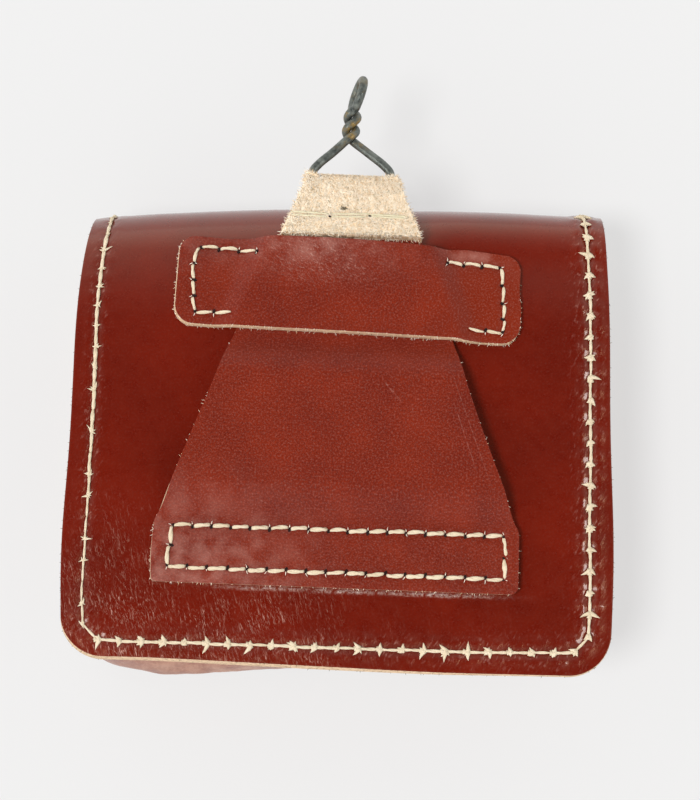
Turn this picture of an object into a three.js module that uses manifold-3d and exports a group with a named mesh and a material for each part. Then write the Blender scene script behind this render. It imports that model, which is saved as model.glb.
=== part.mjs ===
// A leather cartridge pouch that lies on its flap, in millimetres. +Z is up, out of the back panel, +Y runs
// along the pouch to its wire hanger, and +X runs across it. z = 0 is the surface that the flap lies on.
import * as THREE from 'three';
import { mergeVertices } from 'three/addons/utils/BufferGeometryUtils.js';
import Module from 'manifold-3d';

const wasm = await Module();
wasm.setup();

// ---- Driving dimensions ----
const seatGap = 0.3; // left between pieces that are sewn together or lie on each other

const pouchDepth = 46; // from the surface to the back panel's outer face
const panelBottom = -62.85; // the back panel's lower edge
const panelTop = 62.85; // the crown of the bend into the flap
const panelHalfBottom = 72; // half the panel's width along its lower edge
const panelHalfTop = 71; // and at the bend and on the flap
const panelCorner = 11; // radius of the panel's lower corners
const panelThick = 2.6;
const bendRadius = 18; // of the two rounded shoulders where the panel turns into the flap
const flapEnd = -50; // the flap's lower edge
const flapCorner = 24; // radius of the flap's lower corners
const flapCrease = -14; // below this line the front slopes in
const frontSlope = Math.tan(THREE.MathUtils.degToRad(6));

const bodyHalf = 69.6; // half the width over the gusset's side walls
const bodyBottom = -61.25;
const bodyTop = 40;
const bodyCorner = 12;
const gussetThick = 2;
const gussetFlange = 9; // the turned-in edges that are sewn to the panel and to the front wall
const frontWallThick = 2.2;
const sag = { x: -45, depth: 3.8, wideLeft: 9, wideRight: 24, all: 0.5 }; // where the bottom bellies out

const strapThick = 2.4;
const strapLean = THREE.MathUtils.degToRad(0.9); // the belt strap is sewn on a little askew
const strapFoot = { x: -0.3, y: -42.6, half: 48, corner: 2, straight: 16.2 };
const strapTaper = 0.367; // lost from the half width for each millimetre above the straight foot
const strapRise = 4.9; // how far the strap stands off over the belt passage
const strapRamps = { leave: 17.5, up: 27, down: 55.5, land: 65.5 }; // distances along the strap
const foldAxisAlong = 107.15; // where the wire lies across the strap
const foldEnd = 94.2; // the cut end of the part that is folded over
const foldSewn = 99; // from here to its end the fold lies flat
const foldShoulder = 105.4; // the layer below the wire keeps its full width up to here
const sleeveHalf = 7.9; // half the length of the sleeve round the wire
// The outline of the corners of the fold that cover the wire's legs: how far beyond the wire's axis each
// point lies, and how far in from the strap's side edge, or out from the sleeve's end.
const earRim = [
  { beyond: -2.2, fromSleeve: -0.6 },
  { beyond: -2.2, fromEdge: 0.2 },
  { beyond: 1.5, fromEdge: 0 },
  { beyond: 3.25, fromEdge: 0.8 },
  { beyond: 4.65, fromEdge: 1.5 },
  { beyond: 4.05, fromSleeve: 1 },
  { beyond: 2.25, fromSleeve: -0.6 },
];
const earThick = 2.3;

const keeperThick = 2.2;
const keeperLean = THREE.MathUtils.degToRad(2.5);
const keeper = { x: 1.45, y: 36.3, halfLength: 46, halfEnd: 11.9, halfMiddle: 13.1, arch: 0.9, corner: 4 };
const keeperRamp = 7; // the band climbs over the strap's edge in this distance
const keeperEase = 0.45; // it starts to climb down this far beyond the strap's edge

const wireRadius = 1.15;
const wireCorner = 3; // radius of the bends at the ends of the sleeve
const wireLegFoot = { across: 10.25, along: 111.7 }; // a point on each leg's middle line
const neckStart = { across: -0.8, along: 120.4 };
const neckEnd = { across: -0.3, along: 127.8 };
const neckRadius = 1.3; // from the neck's axis to each strand
const legLift = 0.25; // half way up, a leg lies this far above or below the hanger's plane
const eyeLean = THREE.MathUtils.degToRad(14);
const eyeTurn = THREE.MathUtils.degToRad(13); // the eye is nearly edge-on to the back panel
const eyeLength = 8.7;
const eyeHalf = 4.4; // from the eye's axis to the wire's middle where it is widest
const endGap = 0.25; // half the gap between the wire's two ends, inside the sleeve

const stud = { y: -38.4, headRadius: 4.5, headHeight: 2.2, shankRadius: 1.8, baseRadius: 5, baseThick: 1 };
const studRim = 0.5; // the head's straight edge below its dome
const studDrill = 30; // length of the tool that clears its way through the leather

const mahogany = { color: 0x7a1d11, roughness: 0.28, metalness: 0 };
const russet = { color: 0x8a2e20, roughness: 0.5, metalness: 0 };
const steel = { color: 0x55564e, roughness: 0.5, metalness: 0.85 };
const brass = { color: 0xb08a45, roughness: 0.35, metalness: 1 };

// ---- Making closed solids ----
function signedVolume(points, triangles) {
  const cross = new THREE.Vector3();
  let sum = 0;
  for (const [a, b, c] of triangles) sum += points[a].dot(cross.crossVectors(points[b], points[c]));
  return sum / 6;
}

function closedGeometry(points, triangles) {
  const outward = signedVolume(points, triangles) > 0;
  const index = triangles.flatMap(([a, b, c]) => (outward ? [a, b, c] : [a, c, b]));
  const geometry = new THREE.BufferGeometry().setFromPoints(points);
  geometry.setIndex(index);
  geometry.computeVertexNormals();
  return geometry;
}

// Joins rings of equal length into one solid. outline is the rings' common shape in a plane, for the ends.
function loft(rings, outline) {
  const count = outline.length;
  const points = rings.flat();
  const triangles = [];
  for (let ring = 0; ring + 1 < rings.length; ring++) {
    for (let i = 0; i < count; i++) {
      const a = ring * count + i;
      const b = ring * count + ((i + 1) % count);
      triangles.push([a, b, b + count], [a, b + count, a + count]);
    }
  }
  const last = (rings.length - 1) * count;
  for (const [a, b, c] of THREE.ShapeUtils.triangulateShape(outline, [])) {
    triangles.push([a, c, b], [last + a, last + b, last + c]);
  }
  return closedGeometry(points, triangles);
}

function toSolid(geometry) {
  const bare = geometry.clone();
  bare.deleteAttribute('normal');
  bare.deleteAttribute('uv');
  const merged = mergeVertices(bare, 1e-5);
  return new wasm.Manifold(new wasm.Mesh({
    numProp: 3,
    vertProperties: new Float32Array(merged.attributes.position.array),
    triVerts: new Uint32Array(merged.index.array),
  }));
}

function toGeometry(solid) {
  const mesh = solid.getMesh();
  const geometry = new THREE.BufferGeometry();
  geometry.setAttribute('position', new THREE.BufferAttribute(mesh.vertProperties, 3));
  geometry.setIndex(new THREE.BufferAttribute(mesh.triVerts, 1));
  geometry.computeVertexNormals();
  return geometry;
}

// A path in a vertical plane, moved sideways by a distance so that its straight runs stay parallel.
function offsetPath(path, distance) {
  return path.map((here, i) => {
    const before = path[Math.max(i - 1, 0)];
    const after = path[Math.min(i + 1, path.length - 1)];
    const into = unitNormal(i > 0 ? before : here, i > 0 ? here : after);
    const out = unitNormal(i < path.length - 1 ? here : before, i < path.length - 1 ? after : here);
    const share = distance / (1 + into.dot(out));
    return { along: here.along + (into.x + out.x) * share, z: here.z + (into.y + out.y) * share };
  });
}

function unitNormal(from, to) {
  return new THREE.Vector2(from.z - to.z, to.along - from.along).normalize();
}

// A sheet of leather that follows a path of { along, z, half }, from one offset of it to the other.
function sheet(path, lower, upper, place) {
  const under = offsetPath(path, lower);
  const over = offsetPath(path, upper);
  const rings = path.map(({ half }, i) => [
    place(-half, under[i].along, under[i].z),
    place(half, under[i].along, under[i].z),
    place(half, over[i].along, over[i].z),
    place(-half, over[i].along, over[i].z),
  ]);
  const square = [[-1, 0], [1, 0], [1, 1], [-1, 1]].map(([x, y]) => new THREE.Vector2(x, y));
  return loft(rings, square);
}

// How far in from the side a round corner lies at each step, with the distance from the end.
function roundCorner(radius, steps) {
  return Array.from({ length: steps + 1 }, (_, i) => {
    const angle = (i / steps) * (Math.PI / 2);
    return { along: radius * (1 - Math.cos(angle)), inset: radius * (1 - Math.sin(angle)) };
  });
}

const straight = (x, y, z) => new THREE.Vector3(x, y, z);
const smooth = (t) => THREE.MathUtils.smoothstep(t, 0, 1);

// ---- The heights that the pieces share ----
const frontRise = (y) => Math.max(0, flapCrease - y) * frontSlope;
const frontWallOuter = panelThick + seatGap;
const gussetFront = frontWallOuter + frontWallThick + seatGap;
const gussetBack = pouchDepth - panelThick - seatGap;
const bendStart = panelTop - bendRadius;

function panelHeight(y) {
  const past = Math.max(0, y - bendStart);
  return pouchDepth - bendRadius + Math.sqrt(bendRadius ** 2 - past ** 2);
}

function panelHalf(y) {
  const up = (y - panelBottom) / (panelTop - panelBottom);
  return THREE.MathUtils.lerp(panelHalfBottom, panelHalfTop, up);
}

// ---- The back panel and the flap, one piece of leather ----
function backFlap() {
  const path = [];
  for (const { along, inset } of roundCorner(panelCorner, 7)) {
    const y = panelBottom + along;
    path.push({ along: y, z: pouchDepth, half: panelHalf(y) - inset });
  }
  const turns = 9;
  for (let i = 0; i <= turns; i++) {
    const angle = (i / turns) * (Math.PI / 2);
    const y = bendStart + bendRadius * Math.sin(angle);
    path.push({ along: y, z: pouchDepth - bendRadius * (1 - Math.cos(angle)), half: panelHalf(y) });
  }
  for (let i = turns; i >= 0; i--) {
    const angle = (i / turns) * (Math.PI / 2);
    path.push({
      along: bendStart + bendRadius * Math.sin(angle),
      z: bendRadius * (1 - Math.cos(angle)),
      half: panelHalfTop,
    });
  }
  path.push({ along: flapCrease, z: 0, half: panelHalfTop });
  for (const { along, inset } of roundCorner(flapCorner, 9).reverse()) {
    const y = flapEnd + along;
    path.push({ along: y, z: frontRise(y), half: panelHalfTop - inset });
  }
  return sheet(path, -panelThick, 0, straight);
}

// ---- The body: a gusset round the sides and bottom, and a front wall ----
function gussetPath() {
  const path = [];
  const addCorner = (side) => {
    const steps = 6;
    for (let i = 0; i <= steps; i++) {
      const turn = (side < 0 ? i : steps - i) / steps;
      const angle = turn * (Math.PI / 2);
      const across = Math.cos(angle) * side;
      const down = -Math.sin(angle);
      path.push({
        x: side * (bodyHalf - bodyCorner) + across * bodyCorner,
        y: bodyBottom + bodyCorner + down * bodyCorner,
        across,
        down,
      });
    }
  };
  path.push({ x: -bodyHalf, y: bodyTop, across: -1, down: 0 });
  path.push({ x: -bodyHalf, y: flapCrease, across: -1, down: 0 });
  addCorner(-1);
  const spans = 22;
  const from = -bodyHalf + bodyCorner;
  for (let i = 1; i < spans; i++) {
    path.push({ x: from - (2 * from * i) / spans, y: bodyBottom, across: 0, down: -1 });
  }
  addCorner(1);
  path.push({ x: bodyHalf, y: flapCrease, across: 1, down: 0 });
  path.push({ x: bodyHalf, y: bodyTop, across: 1, down: 0 });
  return path;
}

function sagAt(x, down) {
  const wide = x < sag.x ? sag.wideLeft : sag.wideRight;
  return sag.all + sag.depth * Math.exp(-(((x - sag.x) / wide) ** 2)) * Math.max(0, -down);
}

// The gusset's cross-section, a channel: how far out, how much of the sag, and the share of the depth.
function channel() {
  const levels = [0, 0.25, 0.5, 0.75, 1];
  const outer = levels.map((share) => ({ out: 0, share, lift: 0 }));
  const inner = levels.map((share) => ({ out: -gussetThick, share: 1 - share, lift: 0 }));
  inner[0].lift = -gussetThick;
  inner[4].lift = gussetThick;
  return [
    { out: -gussetFlange, share: 0, lift: 0 },
    ...outer,
    { out: -gussetFlange, share: 1, lift: 0 },
    { out: -gussetFlange, share: 1, lift: -gussetThick },
    ...inner,
    { out: -gussetFlange, share: 0, lift: gussetThick },
  ];
}

function bodyGusset() {
  const section = channel();
  const rings = gussetPath().map(({ x, y, across, down }) => section.map(({ out, share, lift }) => {
    const push = out + sagAt(x, down) * Math.sin(Math.PI * share);
    const placedY = y + down * push;
    const front = gussetFront + frontRise(placedY);
    const z = THREE.MathUtils.lerp(front, gussetBack, share) + lift;
    return new THREE.Vector3(x + across * push, placedY, z);
  }));
  const depth = gussetBack - gussetFront;
  const outline = section.map(({ out, share, lift }) => new THREE.Vector2(out, share * depth + lift));
  return loft(rings, outline);
}

function frontWall() {
  const path = roundCorner(bodyCorner, 7).map(({ along, inset }) => {
    const y = bodyBottom + along;
    return { along: y, z: frontRise(y) + frontWallOuter, half: bodyHalf - inset };
  });
  path.push({ along: flapCrease, z: frontWallOuter, half: bodyHalf });
  path.push({ along: bodyTop, z: frontWallOuter, half: bodyHalf });
  return sheet(path, 0, frontWallThick, straight);
}

// ---- The belt strap, folded over the wire at its end ----
function onStrap(across, along, z) {
  return new THREE.Vector3(
    strapFoot.x + across * Math.cos(strapLean) + along * Math.sin(strapLean),
    strapFoot.y - across * Math.sin(strapLean) + along * Math.cos(strapLean),
    z,
  );
}

const strapHalf = (along) => strapFoot.half - strapTaper * Math.max(0, along - strapFoot.straight);
const strapLow = pouchDepth + seatGap + strapThick / 2; // middle of the sheet where it lies on the panel
const foldRadius = wireRadius + seatGap + strapThick / 2; // from the wire's axis to the middle of the sheet
const wireHeight = strapLow + foldRadius;

function strapMiddle(along) {
  const up = smooth((along - strapRamps.leave) / (strapRamps.up - strapRamps.leave));
  const down = smooth((along - strapRamps.down) / (strapRamps.land - strapRamps.down));
  return strapLow + strapRise * (up - down);
}

function beltStrap() {
  const path = roundCorner(strapFoot.corner, 3).map(({ along, inset }) => (
    { along, z: strapLow, half: strapFoot.half - inset }
  ));
  path.push({ along: strapFoot.straight, z: strapLow, half: strapFoot.half });
  const ramp = (from, to) => {
    const steps = 6;
    for (let i = 0; i <= steps; i++) {
      const along = THREE.MathUtils.lerp(from, to, i / steps);
      path.push({ along, z: strapMiddle(along), half: strapHalf(along) });
    }
  };
  ramp(strapRamps.leave, strapRamps.up);
  ramp(strapRamps.down, strapRamps.land);
  path.push({ along: foldShoulder, z: strapLow, half: strapHalf(foldShoulder) });
  path.push({ along: foldShoulder + seatGap, z: strapLow, half: sleeveHalf });
  const turns = 10;
  for (let i = 0; i <= turns; i++) {
    const angle = (i / turns) * Math.PI - Math.PI / 2;
    path.push({
      along: foldAxisAlong + foldRadius * Math.cos(angle),
      z: wireHeight + foldRadius * Math.sin(angle),
      half: sleeveHalf,
    });
  }
  const foldHigh = wireHeight + foldRadius;
  const foldLow = strapLow + strapThick + seatGap;
  const from = foldAxisAlong - seatGap;
  const steps = 4;
  for (let i = 0; i <= steps; i++) {
    const along = THREE.MathUtils.lerp(from, foldSewn, i / steps);
    const z = THREE.MathUtils.lerp(foldHigh, foldLow, smooth(i / steps));
    path.push({ along, z, half: strapHalf(along) });
  }
  path.push({ along: foldEnd, z: foldLow, half: strapHalf(foldEnd) });
  const strip = toSolid(sheet(path, -strapThick / 2, strapThick / 2, onStrap));
  return toGeometry(strip.add(foldEar(-1)).add(foldEar(1)));
}

// A corner of the fold that lies over the bend of the wire.
function foldEar(side) {
  const corners = earRim.map(({ beyond, fromSleeve, fromEdge }) => {
    const along = foldAxisAlong + beyond;
    const across = fromEdge === undefined ? sleeveHalf + fromSleeve : strapHalf(along) - fromEdge;
    return new THREE.Vector2(side * across, along);
  });
  const ear = new THREE.ExtrudeGeometry(new THREE.Shape(corners), { depth: earThick, bevelEnabled: false });
  ear.translate(0, 0, wireHeight + foldRadius - strapThick / 2);
  ear.rotateZ(-strapLean);
  ear.translate(strapFoot.x, strapFoot.y, 0);
  return toSolid(ear);
}

// ---- The keeper band, sewn to the panel at both ends, a tunnel over the strap ----
function keeperLift(x, y) {
  const dx = x - strapFoot.x;
  const dy = y - strapFoot.y;
  const across = dx * Math.cos(strapLean) - dy * Math.sin(strapLean);
  const along = dx * Math.sin(strapLean) + dy * Math.cos(strapLean);
  const beyond = Math.abs(across) - strapHalf(along) - keeperEase;
  return (strapThick + seatGap) * (1 - smooth(beyond / keeperRamp));
}

function keeperBand() {
  const length = keeper.halfLength;
  const corner = roundCorner(keeper.corner, 4);
  const stations = corner.map(({ along, inset }) => ({ across: -length + along, inset }));
  const spans = 26;
  const inner = length - keeper.corner;
  for (let i = 1; i < spans; i++) stations.push({ across: -inner + (2 * inner * i) / spans, inset: 0 });
  for (const { along, inset } of corner.slice().reverse()) stations.push({ across: length - along, inset });

  const rows = 6;
  const level = Array.from({ length: rows + 1 }, (_, i) => (2 * i) / rows - 1);
  const rings = stations.map(({ across, inset }) => {
    const middle = 1 - (across / length) ** 2;
    const half = THREE.MathUtils.lerp(keeper.halfEnd, keeper.halfMiddle, middle) - inset;
    const point = (row, upper) => {
      const up = row * half + keeper.arch * middle;
      const x = keeper.x + across * Math.cos(keeperLean) + up * Math.sin(keeperLean);
      const y = keeper.y - across * Math.sin(keeperLean) + up * Math.cos(keeperLean);
      // The tunnel stands on the strap, which lies flat where the panel has started to bend away.
      const bed = panelHeight(y);
      const lift = keeperLift(x, y);
      const raised = Math.max(0, pouchDepth - bed) * (lift / (strapThick + seatGap));
      return new THREE.Vector3(x, y, bed + seatGap + lift + raised + (upper ? keeperThick : 0));
    };
    return [...level.map((row) => point(row, false)), ...level.map((row) => point(-row, true))];
  });
  const outline = [
    ...level.map((row) => new THREE.Vector2(row, 0)),
    ...level.map((row) => new THREE.Vector2(-row, 1)),
  ];
  return loft(rings, outline);
}

// ---- The wire hanger: one length of wire, its ends meeting in the sleeve ----
function wirePath() {
  const left = wireSide(-1);
  const right = wireSide(1).reverse();
  const eye = [];
  const eyePoint = (along, half) => new THREE.Vector3(
    neckEnd.across + Math.sin(eyeLean) * along + half * Math.sin(eyeTurn),
    neckEnd.along + Math.cos(eyeLean) * along,
    wireHeight + half * Math.cos(eyeTurn),
  );
  const eyeSteps = 12;
  for (let i = 1; i < eyeSteps; i++) {
    const angle = (i / eyeSteps) * 2 * Math.PI - Math.PI;
    eye.push(eyePoint(eyeLength / 2 * (1 + Math.cos(angle)), -eyeHalf * Math.sin(angle)));
  }
  return [...left, ...eye, ...right].map(({ x, y, z }) => onStrap(x, y, z));
}

// Half of the wire, from its end in the sleeve round the bend, up a leg and through the twisted neck.
function wireSide(side) {
  const points = [];
  const rise = neckStart.along - wireLegFoot.along;
  const run = neckStart.across - side * wireLegFoot.across;
  const leg = Math.atan2(rise, -side * run); // the leg's angle above the strap's width
  const turn = Math.PI - leg;
  const sharp = wireLegFoot.across + (wireLegFoot.along - foldAxisAlong) / Math.tan(leg);
  const bendFrom = sharp - wireCorner * Math.tan(turn / 2);
  const add = (across, along, z) => points.push(new THREE.Vector3(side * across, along, wireHeight + z));
  const straightSteps = 3;
  for (let i = 0; i < straightSteps; i++) {
    add(THREE.MathUtils.lerp(endGap, bendFrom, i / straightSteps), foldAxisAlong, 0);
  }
  const bendSteps = 5;
  for (let i = 0; i <= bendSteps; i++) {
    const angle = (i / bendSteps) * turn;
    add(bendFrom + wireCorner * Math.sin(angle), foldAxisAlong + wireCorner * (1 - Math.cos(angle)), 0);
  }
  const front = side < 0 ? 1 : -1; // the left leg crosses above the right one
  const legEnd = points.at(-1);
  const meet = new THREE.Vector3(neckStart.across, neckStart.along, wireHeight + front * neckRadius);
  const middle = legEnd.clone().lerp(meet, 0.5);
  middle.z = wireHeight + front * legLift;
  points.push(middle);
  const neckSteps = 12;
  for (let i = 0; i <= neckSteps; i++) {
    const share = i / neckSteps;
    const angle = share * 2 * Math.PI;
    points.push(new THREE.Vector3(
      THREE.MathUtils.lerp(neckStart.across, neckEnd.across, share) + front * neckRadius * Math.sin(angle),
      THREE.MathUtils.lerp(neckStart.along, neckEnd.along, share),
      wireHeight + front * neckRadius * Math.cos(angle),
    ));
  }
  return points;
}

function wireHanger() {
  const path = new THREE.CatmullRomCurve3(wirePath(), false, 'centripetal');
  const sides = 8;
  const rim = Array.from({ length: sides }, (_, i) => {
    const angle = (i / sides) * 2 * Math.PI;
    return new THREE.Vector2(Math.cos(angle), Math.sin(angle)).multiplyScalar(wireRadius);
  });
  const section = new THREE.Shape(rim);
  return new THREE.ExtrudeGeometry(section, { steps: 110, bevelEnabled: false, extrudePath: path });
}

// ---- The closing stud, through the front wall and the flap ----
function studPlace(geometry) {
  geometry.rotateX(-Math.PI / 2 - Math.atan(frontSlope));
  geometry.translate(0, stud.y, frontRise(stud.y));
  return geometry;
}

function closingStud() {
  const headUnder = seatGap;
  const domeSteps = 4;
  const dome = Array.from({ length: domeSteps }, (_, i) => {
    const angle = (i / domeSteps) * (Math.PI / 2);
    const height = headUnder + studRim + (stud.headHeight - studRim) * Math.sin(angle);
    return [stud.headRadius * Math.cos(angle), height];
  });
  const wallInner = -(panelThick + seatGap + frontWallThick + 2 * seatGap);
  const profile = [
    [0, wallInner - stud.baseThick],
    [stud.baseRadius, wallInner - stud.baseThick],
    [stud.baseRadius, wallInner],
    [stud.shankRadius, wallInner],
    [stud.shankRadius, headUnder],
    [stud.headRadius, headUnder],
    ...dome,
    [0, headUnder + stud.headHeight],
  ].map(([radius, height]) => new THREE.Vector2(radius, height));
  return studPlace(new THREE.LatheGeometry(profile, 20));
}

function withStudHole(geometry) {
  const radius = stud.shankRadius + seatGap;
  const drill = studPlace(new THREE.CylinderGeometry(radius, radius, studDrill, 16));
  return toGeometry(toSolid(geometry).subtract(toSolid(drill)));
}

// ---- The pouch ----
function piece(name, geometry, finish) {
  const mesh = new THREE.Mesh(geometry, new THREE.MeshStandardMaterial(finish));
  mesh.name = name;
  return mesh;
}

const cartridgePouch = new THREE.Group();
cartridgePouch.add(
  piece('back_flap', withStudHole(backFlap()), mahogany),
  piece('body_gusset', bodyGusset(), mahogany),
  piece('front_wall', withStudHole(frontWall()), mahogany),
  piece('belt_strap', beltStrap(), russet),
  piece('keeper_band', keeperBand(), russet),
  piece('wire_hanger', wireHanger(), steel),
  piece('closing_stud', closingStud(), brass),
);

export default cartridgePouch;
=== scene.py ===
"""A leather cartridge pouch, dressed over its fixed frame.

The pouch lies on its flap. Its back panel turns over a rounded bend into the flap. On the panel is a belt
strap, folded over a twisted wire hanger at its end, and a keeper band that makes a tunnel over the strap.
Every sheet of leather is modelled as it is made: cut flat, given its thickness, its edges rounded, and bent.
"""

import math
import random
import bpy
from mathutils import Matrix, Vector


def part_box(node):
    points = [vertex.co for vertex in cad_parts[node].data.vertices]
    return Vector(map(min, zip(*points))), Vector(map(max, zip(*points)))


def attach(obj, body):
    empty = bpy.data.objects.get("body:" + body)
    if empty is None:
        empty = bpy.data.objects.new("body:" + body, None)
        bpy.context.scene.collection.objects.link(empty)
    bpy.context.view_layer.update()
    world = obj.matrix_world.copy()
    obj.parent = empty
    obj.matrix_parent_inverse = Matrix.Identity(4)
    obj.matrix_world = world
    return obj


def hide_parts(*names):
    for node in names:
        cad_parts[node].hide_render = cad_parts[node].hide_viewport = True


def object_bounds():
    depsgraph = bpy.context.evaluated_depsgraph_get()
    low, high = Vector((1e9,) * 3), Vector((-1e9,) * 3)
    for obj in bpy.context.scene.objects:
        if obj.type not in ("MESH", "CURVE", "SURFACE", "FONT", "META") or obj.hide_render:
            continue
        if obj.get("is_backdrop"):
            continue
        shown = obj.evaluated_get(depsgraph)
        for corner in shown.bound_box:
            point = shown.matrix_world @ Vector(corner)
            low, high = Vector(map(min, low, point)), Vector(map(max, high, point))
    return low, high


bl_info = {
    "name": "Cartridge Pouch",
    "version": (1, 0, 0),
    "blender": (4, 5, 0),
    "location": "View3D > Sidebar > Pouch",
    "description": "Builds a stitched leather cartridge pouch with a belt strap and a wire hanger",
    "category": "Add Mesh",
}

import bmesh
import bpy
import numpy as np
from mathutils import Matrix, Vector, kdtree, noise

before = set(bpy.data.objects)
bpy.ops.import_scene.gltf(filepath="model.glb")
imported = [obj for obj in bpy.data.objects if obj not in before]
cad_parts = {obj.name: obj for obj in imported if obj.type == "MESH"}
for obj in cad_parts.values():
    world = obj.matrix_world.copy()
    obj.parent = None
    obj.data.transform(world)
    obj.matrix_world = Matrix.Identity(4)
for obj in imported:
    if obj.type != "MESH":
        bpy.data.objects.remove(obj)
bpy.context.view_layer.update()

MM = 0.001
DEGREE = math.pi / 180

# ---- The frame's sizes ----
PANEL_LOW, PANEL_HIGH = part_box("back_flap")
POUCH_DEPTH = PANEL_HIGH.z
PANEL_BOTTOM = PANEL_LOW.y
PANEL_TOP = PANEL_HIGH.y
PANEL_HALF = 72 * MM
PANEL_NARROWS = 1 * MM  # lost from the half width between the lower edge and the bend
BEND_RADIUS = 18 * MM
FLAP_END = -50 * MM
FLAP_CREASE = -14 * MM
FLAP_SLOPE = 6 * DEGREE
SEAT_GAP = 0.3 * MM  # between pieces that lie on each other

BODY_HALF = 69.6 * MM
BODY_BOTTOM = -61.25 * MM
BODY_TOP = 40 * MM
BODY_CORNER = 12 * MM
FRONT_WALL_OUTER = 2.9 * MM
GUSSET_FRONT = 5.4 * MM
GUSSET_BACK = 43.1 * MM
GUSSET_FLANGE = 9 * MM
SAG_AT = -45 * MM
SAG_DEPTH = 3.8 * MM

STRAP_LEAN = 0.9 * DEGREE
STRAP_FOOT = Vector((-0.3 * MM, -42.6 * MM))
STRAP_HALF = 48 * MM
STRAP_STRAIGHT = 16.2 * MM
STRAP_TAPER = 0.367
STRAP_RISE = 4.9 * MM
FOLD_AXIS = 107.15 * MM  # how far along the strap the wire lies
FOLD_END = 93.5 * MM
FOLD_SEWN = 99 * MM
FOLD_SHOULDER = 105.4 * MM
SLEEVE_HALF = 7.9 * MM
EAR_LENGTH = 4.65 * MM

KEEPER_LEAN = 2.5 * DEGREE
KEEPER_AT = Vector((1.45 * MM, 36.3 * MM))
KEEPER_HALF = 46 * MM
KEEPER_UP = 11.9 * MM
KEEPER_BOW = 1.2 * MM  # how much wider each half is at the middle
KEEPER_ARCH = 0.9 * MM
KEEPER_STEP = 0.45 * MM  # beyond the strap's side, where the keeper starts down
KEEPER_RAMP = 7 * MM

STUD_AT = -38.4 * MM


def from_hex(code):
    """Linear red, green, blue and opacity from an sRGB hex colour."""
    parts = [int(code[i:i + 2], 16) / 255 for i in (0, 2, 4)]
    return (*(c / 12.92 if c <= 0.04045 else ((c + 0.055) / 1.055) ** 2.4 for c in parts), 1)


# ---- What a user may change ----
def colour(name, code, description):
    return bpy.props.FloatVectorProperty(
        name=name, description=description, subtype="COLOR", size=4, min=0, max=1, default=from_hex(code)
    )


def length(name, millimetres, description):
    return bpy.props.FloatProperty(
        name=name, description=description, default=millimetres * MM, min=0, precision=5, unit="LENGTH"
    )


def strength(name, default, description):
    return bpy.props.FloatProperty(name=name, description=description, default=default, min=0)


class PouchColours(bpy.types.PropertyGroup):
    """The colours of its materials"""

    glaze: colour("Glazed leather", "6d1204", "Leather of the panel, the flap and the body")
    glaze_dark: colour("Glazed leather, dark", "600d03", "Where the dye lies deepest")
    sheen: colour("Sheen", "ffd9a8", "What the dye gives the light that its finish sends back")
    # Wax bloom, and the same pale colour painted as glints on cracks, pulls, creases and specks.
    wax_bloom_and_glint: colour("Bloom", "c9978a", "Wax and light in the cracked finish")
    # A pale tan laid on the gusset where its haze mark is high.
    pale_tan: colour("Bruise", "cfa48d", "Where the finish was rubbed away")
    # Painted glints on the glaze that the strap's edge crushed.
    crush_glint: colour("Crushed glaze", "e6cdc6", "Where the strap's edge crushed the finish")
    strap: colour("Strap leather", "7f2308", "Leather of the belt strap and the keeper")
    strap_dark: colour("Strap leather, dark", "631605", "The low places of its grain")
    # A warmer red, laid on more and more towards the keeper's right end.
    strap_warm: colour("Strap leather, warm", "7b2001", "Where the dye of the keeper's end is thin")
    suede: colour("Suede", "fef3e1", "The flesh side of the leather")
    suede_shade: colour("Suede, shaded", "ebcda2", "The low places of the nap")
    suede_dirt: colour("Suede, soiled", "a39672", "The few dirty fibres of the nap")
    edge: colour("Cut edge", "f4d8b6", "The undyed core at the cut edges")
    edge_dark: colour("Cut edge, dark", "d0ad88", "Between the layers of the core")
    edge_soil: colour("Cut edge, soiled", "5e4528", "Dye and dirt in the open layers of the core")
    thread: colour("Linen thread", "e8d9bf", "Waxed linen thread")
    thread_shade: colour("Linen thread, shaded", "c3b08a", "Between the plies of the thread")
    buried: colour("Buried thread", "ece3c6", "Thread of the fold, half hidden in the nap")
    buried_shade: colour("Buried thread, shaded", "c9c19c", "Between the plies of the fold's thread")
    soiled: colour("Soiled fibres", "7d745c", "Fibres that took up dirt")
    soiled_dark: colour("Soiled fibres, dark", "2a1d18", "The dirtiest of those fibres")
    # The awl holes are painted shade: near black, as little light comes back from deep in a hole.
    hole: colour("Awl hole", "140604", "The depth of a hole in the leather")
    hole_wall_shade: colour("Awl hole, wall", "2a0f0a", "Dyed leather inside the hole")
    wire: colour("Wire", "767b75", "Bare steel wire, dulled")
    wire_dark: colour("Wire, dark", "3f4442", "Where the oxide is thickest")
    wire_stain: colour("Wire, stained", "8a6c28", "Ochre rust stains in the twist")
    brass: colour("Brass", "b08a45", "The closing stud")
    brass_dark: colour("Brass, tarnished", "6f5227", "Browner patches of the closing stud")
    floor: colour("Floor", "868686", "The pale table")


class PouchSizes(bpy.types.PropertyGroup):
    """The sizes of its leather, its wire and its seams"""

    panel_thick: length("Panel leather", 2.6, "Thickness of the back panel and the flap")
    gusset_thick: length("Gusset leather", 2, "Thickness of the gusset")
    front_thick: length("Front wall leather", 2.2, "Thickness of the front wall")
    strap_thick: length("Strap leather", 2.4, "Thickness of the belt strap")
    keeper_thick: length("Keeper leather", 2.2, "Thickness of the keeper band")
    wire_radius: length("Wire radius", 1.15, "Half the thickness of the wire")
    border_inset: length("Border inset", 5.2, "From the panel's edge to its stitches")
    border_pitch: length("Border pitch", 5.7, "From hole to hole round the border")
    border_thread: length("Border thread", 0.95, "Thickness of the border's thread")
    strap_thread: length("Strap thread", 1.3, "Thickness of the strap's and the keeper's thread")
    nap: length("Nap", 0.95, "Length of the fibres on the suede")
    seed: bpy.props.IntProperty(name="Seed", description="Changes what is left to chance", default=7, min=0)


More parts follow.
